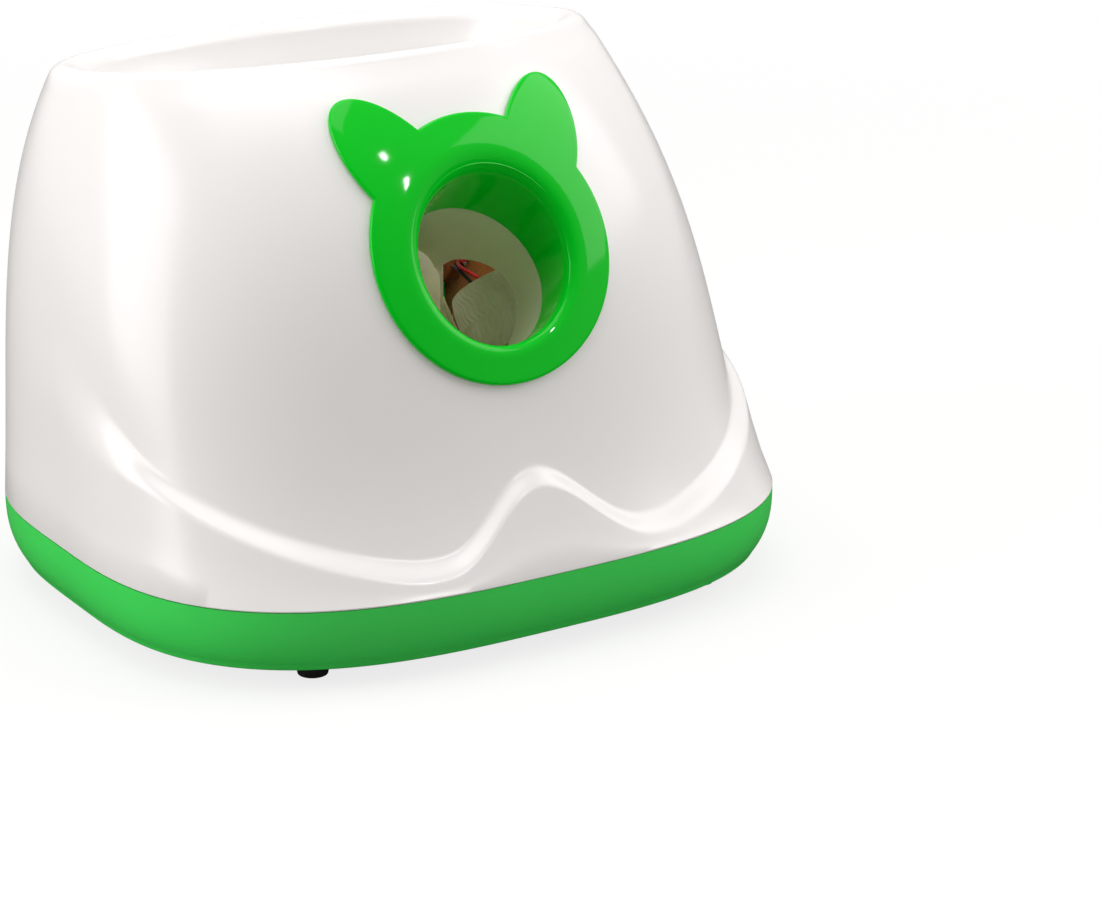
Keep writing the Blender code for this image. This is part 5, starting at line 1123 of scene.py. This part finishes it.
feed_end = can_start + FEED_CAN + GAP * 2
motor_foot = bell_low - GAP * 2
pivot = PIVOT.translation
shift = Vector((0, PLAN_SHIFT, 0))
blob_profile = [(0, SOLDER_RADIUS)]
for step in range(1, 7):
    bend = QUARTER * step / 6
    blob_profile.append((SOLDER_RADIUS * (0.75 + 0.25 * bend) * math.sin(bend), SOLDER_RADIUS * math.cos(bend)))
blob_profile.append((0, 0))
for label, side, finish, route in (("red", 1, red_pvc, RED_ROUTE), ("black", -1, black_pvc, BLACK_ROUTE)):
    aside = Vector((0, 0, side * LEAD_PAIR / 2))
    knots = [Vector((-feed_end - run, pivot.y, pivot.z)) + aside for run in (0, LEAD_RUN / 3)]
    knots += [Vector(spot) + shift + aside for spot in FEED_ROUTE]
    ends = [add_lead("feed_lead_" + label, knots, finish)]
    outer = WHEEL_ACROSS + side * (BOSS_RADIUS + LEAD_PAIR / 2)
    knots = [in_barrel(outer, motor_foot - run, WHEEL_DEPTH) for run in (0, LEAD_RUN / 3, LEAD_RUN)]
    ends.append(add_lead("launch_lead_" + label, knots + [Vector(spot) + shift for spot in route], finish))
    for index, end in enumerate(ends, 1):
        add_piece("solder_%s_%d" % (label, index), turned(blob_profile, 28, on_board(end.y, end.z)), solder)


# Port bezel: the bright green ring with two ears, wrapped on the shell's front, with a sleeve behind it.
# High-gloss ABS in a fresher green than the tub, with soft outer edges and a wide round lip at the mouth.
FLANGE_RADIUS = 0.058
FLANGE_THICKNESS = 0.0026
FLANGE_EDGE = 0.0014
FLANGE_LEAN = math.radians(22)
MOUTH_RADIUS = 0.0358
MOUTH_FILLET = 0.0082
EAR_CENTRE = Vector((0.0346, 0.0386))
EAR_SIZES = (0.0328, 0.0190)
EAR_TURN = math.radians(56.2)
EAR_AXES = (Vector((math.cos(EAR_TURN), math.sin(EAR_TURN))), Vector((-math.sin(EAR_TURN), math.cos(EAR_TURN))))
EAR_STEPS = 72
TOP_STEPS = 10
RING_STEPS = 96
NOTCH_STEPS = 200
FACE_STEPS = 8
EDGE_STEPS = 5
FILLET_STEPS = 10
MOUTH_PASSES = 7
TURN_PASSES = 6
bezel_green = moulded_plastic("moulded_bright_green_abs", "bezel_green_abs", ("00C21E", "00CC24"), 0.06, 2.2,
                              0.000002, Specular_IOR_Level=0.18)


def on_flange(direction, radius, lift):
    """A point at a polar direction and radius round the port, lifted square off the body."""
    across = radius * math.cos(direction)
    height = PORT_HEIGHT + radius * math.sin(direction) * math.cos(FLANGE_LEAN)
    step = FLANGE_THICKNESS
    slope_x = (front_surface(across + step, height) - front_surface(across - step, height)) / (2 * step)
    slope_z = (front_surface(across, height + step) - front_surface(across, height - step)) / (2 * step)
    off = Vector((slope_x, -1, slope_z)).normalized() * lift
    return Vector((across, front_surface(across, height), height)) + off


def ear_reach(direction):
    """Distance from the port's centre to the far side of the ear, or zero beside it."""
    ray = Vector((abs(math.cos(direction)), math.sin(direction)))
    rays, centres = ([spot.dot(axis) / size for axis, size in zip(EAR_AXES, EAR_SIZES)]
                     for spot in (ray, EAR_CENTRE))
    square = rays[0] ** 2 + rays[1] ** 2
    middle = rays[0] * centres[0] + rays[1] * centres[1]
    inside = middle * middle - square * (centres[0] ** 2 + centres[1] ** 2 - 1)
    return 0.0 if inside < 0 else (middle + math.sqrt(inside)) / square


def flange_directions():
    """Polar directions of the sections: along each ear's edge, and evenly between the ears."""
    ear = []
    for step in range(EAR_STEPS):
        turn = 2 * math.pi * step / EAR_STEPS
        spot = (EAR_CENTRE + EAR_AXES[0] * EAR_SIZES[0] * math.cos(turn)
                + EAR_AXES[1] * EAR_SIZES[1] * math.sin(turn))
        if spot.length > FLANGE_RADIUS:
            ear.append(math.atan2(spot.y, spot.x))
    outside = [step / NOTCH_STEPS for step in range(int(NOTCH_STEPS * QUARTER))
               if ear_reach(step / NOTCH_STEPS) <= FLANGE_RADIUS]
    ear.append(max(turn for turn in outside if turn < min(ear)))
    ear.append(min(turn for turn in outside if turn > max(ear)))
    ear.sort()
    top_span = QUARTER - ear[-1]
    right = ear + [ear[-1] + top_span * step / TOP_STEPS for step in range(1, TOP_STEPS)]
    left = [math.pi - turn for turn in reversed(right)]
    lower_span = 2 * math.pi - left[-1] + right[0]
    lower = [left[-1] + lower_span * step / RING_STEPS for step in range(1, RING_STEPS)]
    return [math.remainder(turn, 2 * math.pi) for turn in right + [QUARTER] + left + lower]


def mouth_point(turn, radius, lift):
    """Where a line along the barrel's wall meets the flange's face, and how deep that is."""
    depth = 0.0
    for _ in range(MOUTH_PASSES):
        point = in_barrel(radius * math.cos(turn), radius * math.sin(turn), depth)
        depth += (front_surface(point.x, point.z) - lift - point.y) / -OUTWARD.y
    return in_barrel(radius * math.cos(turn), radius * math.sin(turn), depth), depth


def flange_polar(point):
    """Polar direction and radius round the port of a point on the flange."""
    rise = (point.z - PORT_HEIGHT) / math.cos(FLANGE_LEAN)
    return math.atan2(rise, point.x), math.hypot(point.x, rise)


def bezel_section(direction):
    """The closed outline of the bezel's section in one polar direction on the flange."""
    turn = direction
    for _ in range(TURN_PASSES):
        hole, hole_depth = mouth_point(turn, MOUTH_RADIUS, FLANGE_THICKNESS)
        towards, rim = flange_polar(hole)
        turn += math.remainder(direction - towards, 2 * math.pi)
    reach = max(FLANGE_RADIUS, ear_reach(direction))
    rim += MOUTH_FILLET
    inner = on_flange(direction, rim, FLANGE_THICKNESS)
    sleeve_depth = hole_depth + MOUTH_FILLET
    wall = in_barrel(MOUTH_RADIUS * math.cos(turn), MOUTH_RADIUS * math.sin(turn), sleeve_depth)
    points = [on_flange(direction, reach, GAP)]
    points += [on_flange(direction, radius, lift) for radius, lift in
               arc(reach - FLANGE_EDGE, FLANGE_THICKNESS - FLANGE_EDGE, FLANGE_EDGE, 0, 1, EDGE_STEPS)]
    for step in range(1, FACE_STEPS):
        radius = reach - FLANGE_EDGE + (rim - reach + FLANGE_EDGE) * step / FACE_STEPS
        points.append(on_flange(direction, radius, FLANGE_THICKNESS))
    for step in range(FILLET_STEPS + 1):
        share = step / FILLET_STEPS
        points.append(inner.lerp(hole, share).lerp(hole.lerp(wall, share), share))
    for radius, depth in ((BORE_RADIUS, BEZEL_DEPTH), (BARREL_RADIUS, BEZEL_DEPTH),
                          (MOUTH_RADIUS + BARREL_WALL, sleeve_depth)):
        points.append(in_barrel(radius * math.cos(turn), radius * math.sin(turn), depth))
    behind, _ = mouth_point(turn, MOUTH_RADIUS + BARREL_WALL, GAP)
    points.append(behind)
    behind_direction, behind_radius = flange_polar(behind)
    swing = math.remainder(direction - behind_direction, 2 * math.pi)
    for share in (0.25, 0.5, 0.75):
        points.append(on_flange(behind_direction + swing * share,
                                behind_radius + (reach - behind_radius) * share, GAP))
    return points


sections = [bezel_section(direction) for direction in flange_directions()]
add_piece("green_port_bezel", loft("bezel", list(zip(*sections)), wrap_rows=True), bezel_green, ["port_bezel"])


# Top shell: the white tapering cover, with the wave-shaped ledge low on its front and the rim round the bowl.
# One glossy ABS moulding, held by the four screws, which go into posts inside it.
LEDGE_BAND = 0.0096
LEDGE_SPREAD = 3.6
LEDGE_LOW = 0.0095
LEDGE_PEAK = 0.0275
LEDGE_PEAK_HALF_WIDTH = 0.053
LEDGE_PEAK_POWER = 1.15
LEDGE_SIDE_RISE = 0.049
LEDGE_SIDE_POWER = 1.35
LEDGE_SIDE_FROM = math.radians(24)
LEDGE_SIDE_SPAN = math.radians(51)
LEDGE_SIDE_MOST = 1.25
LEDGE_FADE = (63, 20)
RIM_START = math.radians(32)
RIM_SHARE = 0.955
SKIRT_ROWS = 3
LEDGE_ROWS = 14
UPPER_ROWS = 26
ROLL_ROWS = 16
LIP_ROWS = 6
SEAM_ROUND = 0.0006


def ledge_band(angle):
    """Middle and half height of the wave-shaped ledge, as shares: it spreads and is lost toward the back."""
    across = abs(body_point(angle, 0.1).x)
    peak = 0.0
    if across < LEDGE_PEAK_HALF_WIDTH and math.cos(angle) > 0:
        wave = (1 + math.cos(math.pi * across / LEDGE_PEAK_HALF_WIDTH)) / 2
        peak = LEDGE_PEAK * wave ** LEDGE_PEAK_POWER
    turn = min(max((abs(angle) - LEDGE_SIDE_FROM) / LEDGE_SIDE_SPAN, 0.0), LEDGE_SIDE_MOST)
    middle = LEDGE_LOW + peak + LEDGE_SIDE_RISE * turn ** LEDGE_SIDE_POWER
    half = LEDGE_BAND / 2 * (1 + LEDGE_SPREAD * smooth_turn(angle, *LEDGE_FADE))
    return middle / SHELL_HEIGHT, half / SHELL_HEIGHT


ledge_bands = [ledge_band(angle) for angle in ANGLES]


def shell_row(share_of, proud):
    """A row of the cover, whose share of the height comes from the ledge's middle and half height there."""
    return [body_point(angle, share_of(*band), LEDGE_PROUD * proud * skirt_fade(angle))
            for angle, band in zip(ANGLES, ledge_bands)]


rows = [[point + Vector((0, 0, SEAM_ROUND * lift)) - Vector((point.x, 0, 0)).normalized() * SEAM_ROUND * inset
         for point in skin_row(0.0, 1.0)] for lift, inset in ((0.0, 0.8), (0.3, 0.25), (1.0, 0.0))]
for step in range(1, SKIRT_ROWS):
    rows.append(shell_row(lambda middle, half: (middle - half) * step / SKIRT_ROWS, 1.0))
for step in range(LEDGE_ROWS + 1):
    place = step / LEDGE_ROWS
    proud = 1 - place * place * place * (10 - 15 * place + 6 * place * place)
    rows.append(shell_row(lambda middle, half: middle + half * (2 * place - 1), proud))
for step in range(1, UPPER_ROWS + 1):
    place = step / UPPER_ROWS
    rows.append(shell_row(lambda middle, half: middle + half + (RIM_SHARE - middle - half) * place, 0.0))
rows += [rim_row(RIM_START + (math.pi - RIM_START) * step / ROLL_ROWS, 0.0) for step in range(ROLL_ROWS + 1)]
rows += [rim_row(math.pi, (LIP_DEPTH + EDGE_LAND) * step / LIP_ROWS) for step in range(1, LIP_ROWS + 1)]
shell = add_piece("white_top_shell", loft("shell", rows), white_abs, ["top_shell"])
thicken(shell, SHELL_WALL)
carve(shell, rod(MOUTH_RADIUS + BARREL_WALL + GAP * 2, -BEZEL_DEPTH, BEZEL_DEPTH, BARREL, 128))

# The screw posts, each with a rib to the shell's wall
POST_RADIUS = 0.0048
POST_RIB = 0.0024
POST_TOP = 0.112
POST_REACH = 0.05
PILOT_RADIUS = 0.0021
PILOT_DEPTH = 0.014
TUB_CLEARANCE = 0.0012
low_row = skin_row(0.0, 0.0, BAND_INSET + FLOOR_WALL + TUB_CLEARANCE)
rows = [[Vector((point.x, point.y, height)) for point in low_row]
        for height in (FLOOR_TOP + GAP, SEAM_HEIGHT + TUB_CLEARANCE)]
rows += [skin_row(share, 0.0, SHELL_WALL / 2) for share in (0.12, 0.25, 0.38, 0.5)]
inside = loft("inside", rows, cap_first=True, cap_last=True)
for label, (across, along) in POST_PLACES.items():
    place = at(across, along + PLAN_SHIFT)
    outward_turn = math.atan2(along - (BACK_REACH - FRONT_REACH) / 2, across)
    post = add_piece("shell_post_" + label, rod(POST_RADIUS, FOOT_HEIGHT, POST_TOP, place, 48), white_abs)
    carve(post, box(((0, POST_REACH), span(POST_RIB), (SEAM_HEIGHT + OVERRUN, POST_TOP + OVERRUN)),
                    place @ spun(outward_turn)), "UNION")
    carve(post, inside.copy(), "INTERSECT")
    carve(post, rod(PILOT_RADIUS, FOOT_HEIGHT, FLOOR_TOP + PILOT_DEPTH, place, 24))
    settle(post)


# Rear controls: a raised grey pad with two push buttons and four lights, over a small circuit board.
# The pad is satin ABS, snapped in from inside behind its flange; the buttons are the green of the tub.
PANEL_SHARE = 0.31
INLET_SHARE = 0.11
PANEL_LONG = 0.100
PANEL_TALL = 0.034
PANEL_PROUD = 0.0008
PANEL_WALL = 0.0024
PANEL_DEEP = 0.0080
PANEL_SIDE = 0.003
PANEL_FLANGE = 0.004
PANEL_FLANGE_PLATE = 0.002
PANEL_ROUNDING = 0.006
PANEL_EASE = 0.0004
BUTTON_RADIUS = 0.007
BUTTON_PROUD = 0.0018
BUTTON_FLANGE = 0.0014
BUTTON_FLANGE_PLATE = 0.0012
BUTTON_ROUND = 0.0006
BUTTON_DISH = 0.0005
BUTTON_TRAVEL = 0.0015
STEM_RADIUS = 0.002
STEM_ROOM = 0.0001
LENS_RADIUS = 0.002
LENS_PROUD = 0.0005
BUTTON_BOARD = 0.0014
BUTTON_PLACES = {"power": -0.036, "distance": 0.004}
LIGHT_PLACES = {"power_light": -0.020, "distance_light_near": 0.020, "distance_light_mid": 0.030,
                "distance_light_far": 0.040}


def back_frame(share):
    """Frame on the back's centre line: x to the right seen from behind, y up, z outward."""
    step = PANEL_SHARE / 20
    up = (body_point(math.pi, share + step) - body_point(math.pi, share - step)).normalized()
    outward = Vector((0, up.z, -up.y))
    turn = Matrix((up.cross(outward), up, outward)).transposed()
    return Matrix.Translation(body_point(math.pi, share)) @ turn.to_4x4()


def pad(long, tall, low, high, ease=0.0):
    """A plate with rounded corners along Z in the panel's frame, its front edge eased."""
    levels = [(low, 0.0), (high - ease, 0.0)]
    if ease:
        levels += [(high - ease + lift, ease - inset) for inset, lift in arc(0, 0, ease, 0, 1, 3)[1:]]
    corners = [(x * (long / 2 - PANEL_ROUNDING), y * (tall / 2 - PANEL_ROUNDING), start)
               for x, y, start in ((1, 1, 0), (-1, 1, 1), (-1, -1, 2), (1, -1, 3))]
    rows = [[(*point, height) for x, y, start in corners
             for point in arc(x, y, PANEL_ROUNDING - inset, start, start + 1, 12)] for height, inset in levels]
    return loft("pad", rows, cap_first=True, cap_last=True, outward=False, matrix=PANEL)


def on_panel(across):
    return PANEL @ at(across)


PANEL = back_frame(PANEL_SHARE)
INLET = back_frame(INLET_SHARE)
carve(shell, pad(PANEL_LONG + GAP * 2, PANEL_TALL + GAP * 2, -PANEL_DEEP, PANEL_DEEP))
panel = add_piece("grey_control_pad", pad(PANEL_LONG, PANEL_TALL, -PANEL_DEEP, PANEL_PROUD, PANEL_EASE),
                  grey_abs, ["control_panel"])
carve(panel, pad(PANEL_LONG + PANEL_FLANGE * 2, PANEL_TALL + PANEL_FLANGE * 2, -PANEL_DEEP,
                 PANEL_FLANGE_PLATE - PANEL_DEEP), "UNION")
pocket_long = PANEL_LONG - PANEL_SIDE * 2
pocket_tall = PANEL_TALL - PANEL_SIDE * 2
carve(panel, box((span(pocket_long), span(pocket_tall),
                  (PANEL_PROUD - PANEL_WALL - PANEL_DEEP, PANEL_PROUD - PANEL_WALL)), PANEL))
flange_front = PANEL_PROUD - PANEL_WALL - GAP
flange_back = flange_front - BUTTON_FLANGE_PLATE
board_front = GAP - PANEL_DEEP + BUTTON_BOARD
stem_end = board_front + STEM_ROOM + BUTTON_TRAVEL
button_top = PANEL_PROUD + BUTTON_PROUD
button_profile = [((BUTTON_RADIUS - BUTTON_ROUND) * step / 8, button_top - BUTTON_DISH * (1 - (step / 8) ** 2))
                  for step in range(9)]
button_profile += arc(BUTTON_RADIUS - BUTTON_ROUND, button_top - BUTTON_ROUND, BUTTON_ROUND, 1, 0, 5)[1:]
button_profile += [(BUTTON_RADIUS, flange_front), (BUTTON_RADIUS + BUTTON_FLANGE, flange_front),
                   (BUTTON_RADIUS + BUTTON_FLANGE, flange_back), (STEM_RADIUS, flange_back),
                   (STEM_RADIUS, stem_end), (0, stem_end)]
for name, across in BUTTON_PLACES.items():
    carve(panel, rod(BUTTON_RADIUS + GAP, -PANEL_DEEP, PANEL_DEEP, on_panel(across), 72))
    add_piece(name + "_button_cap", turned(button_profile, 72, on_panel(across)), band_green,
              [name + "_button"], name + "_key")

# Clear styrene light pipes: they show the pale diffuser behind and a small bright reflection
clear = surfaced("clear_styrene", "clear_lens", ("DDE3DD", "EFF3EE"), (1.5, 2.0), (1.5, 2.0, 0.05, 0.14), None,
                 Transmission_Weight=0.6, IOR=1.58)
lens_profile = [(radius, PANEL_PROUD + LENS_PROUD / LENS_RADIUS * lift)
                for radius, lift in arc(0, 0, LENS_RADIUS, 1, 0, 6)]
lens_profile += [(LENS_RADIUS, board_front + GAP), (0, board_front + GAP)]
for name, across in LIGHT_PLACES.items():
    carve(panel, rod(LENS_RADIUS + GAP, -PANEL_DEEP, PANEL_DEEP, on_panel(across), 40))
    add_piece(name + "_lens", turned(lens_profile, 40, on_panel(across)), clear, [name])
settle(panel)
add_piece("button_board_laminate", eased(box((span(pocket_long - GAP * 2), span(pocket_tall - GAP * 2),
                                              (board_front - BUTTON_BOARD, board_front)), PANEL), BOARD_EDGE),
          phenolic, ["button_board"])


# Power inlet: a round socket for a mains adapter's plug, pushed in from outside up to its flange.
# Black ABS with a nickel-plated centre pin.
SOCKET_FLANGE_RADIUS = 0.0075
SOCKET_FLANGE = 0.0015
SOCKET_RADIUS = 0.0055
SOCKET_LENGTH = 0.012
SOCKET_BORE = 0.0029
SOCKET_BORE_DEPTH = 0.009
SOCKET_PIN_RADIUS = 0.001
SOCKET_ROUND = 0.0005
socket_face = GAP + SOCKET_FLANGE
socket_floor = socket_face - SOCKET_BORE_DEPTH
socket_profile = [(0, socket_floor), (SOCKET_BORE, socket_floor), (SOCKET_BORE, socket_face - SOCKET_ROUND),
                  (SOCKET_BORE + SOCKET_ROUND, socket_face)]
socket_profile += arc(SOCKET_FLANGE_RADIUS - SOCKET_ROUND, socket_face - SOCKET_ROUND, SOCKET_ROUND, 1, 0, 4)
socket_profile += [(SOCKET_FLANGE_RADIUS, GAP), (SOCKET_RADIUS, GAP), (SOCKET_RADIUS, -SOCKET_LENGTH),
                   (0, -SOCKET_LENGTH)]
add_piece("inlet_socket", turned(socket_profile, 64, INLET), black_abs, ["dc_socket"])
pin_profile = arc(0, -SOCKET_PIN_RADIUS, SOCKET_PIN_RADIUS, 1, 0, 4)
pin_profile += [(SOCKET_PIN_RADIUS, socket_floor), (0, socket_floor)]
add_piece("inlet_centre_pin", turned(pin_profile, 32, INLET), nickel)
carve(shell, rod(SOCKET_RADIUS + GAP, -SOCKET_LENGTH, SOCKET_LENGTH, INLET, 48))
settle(shell, BOWL_EDGE)
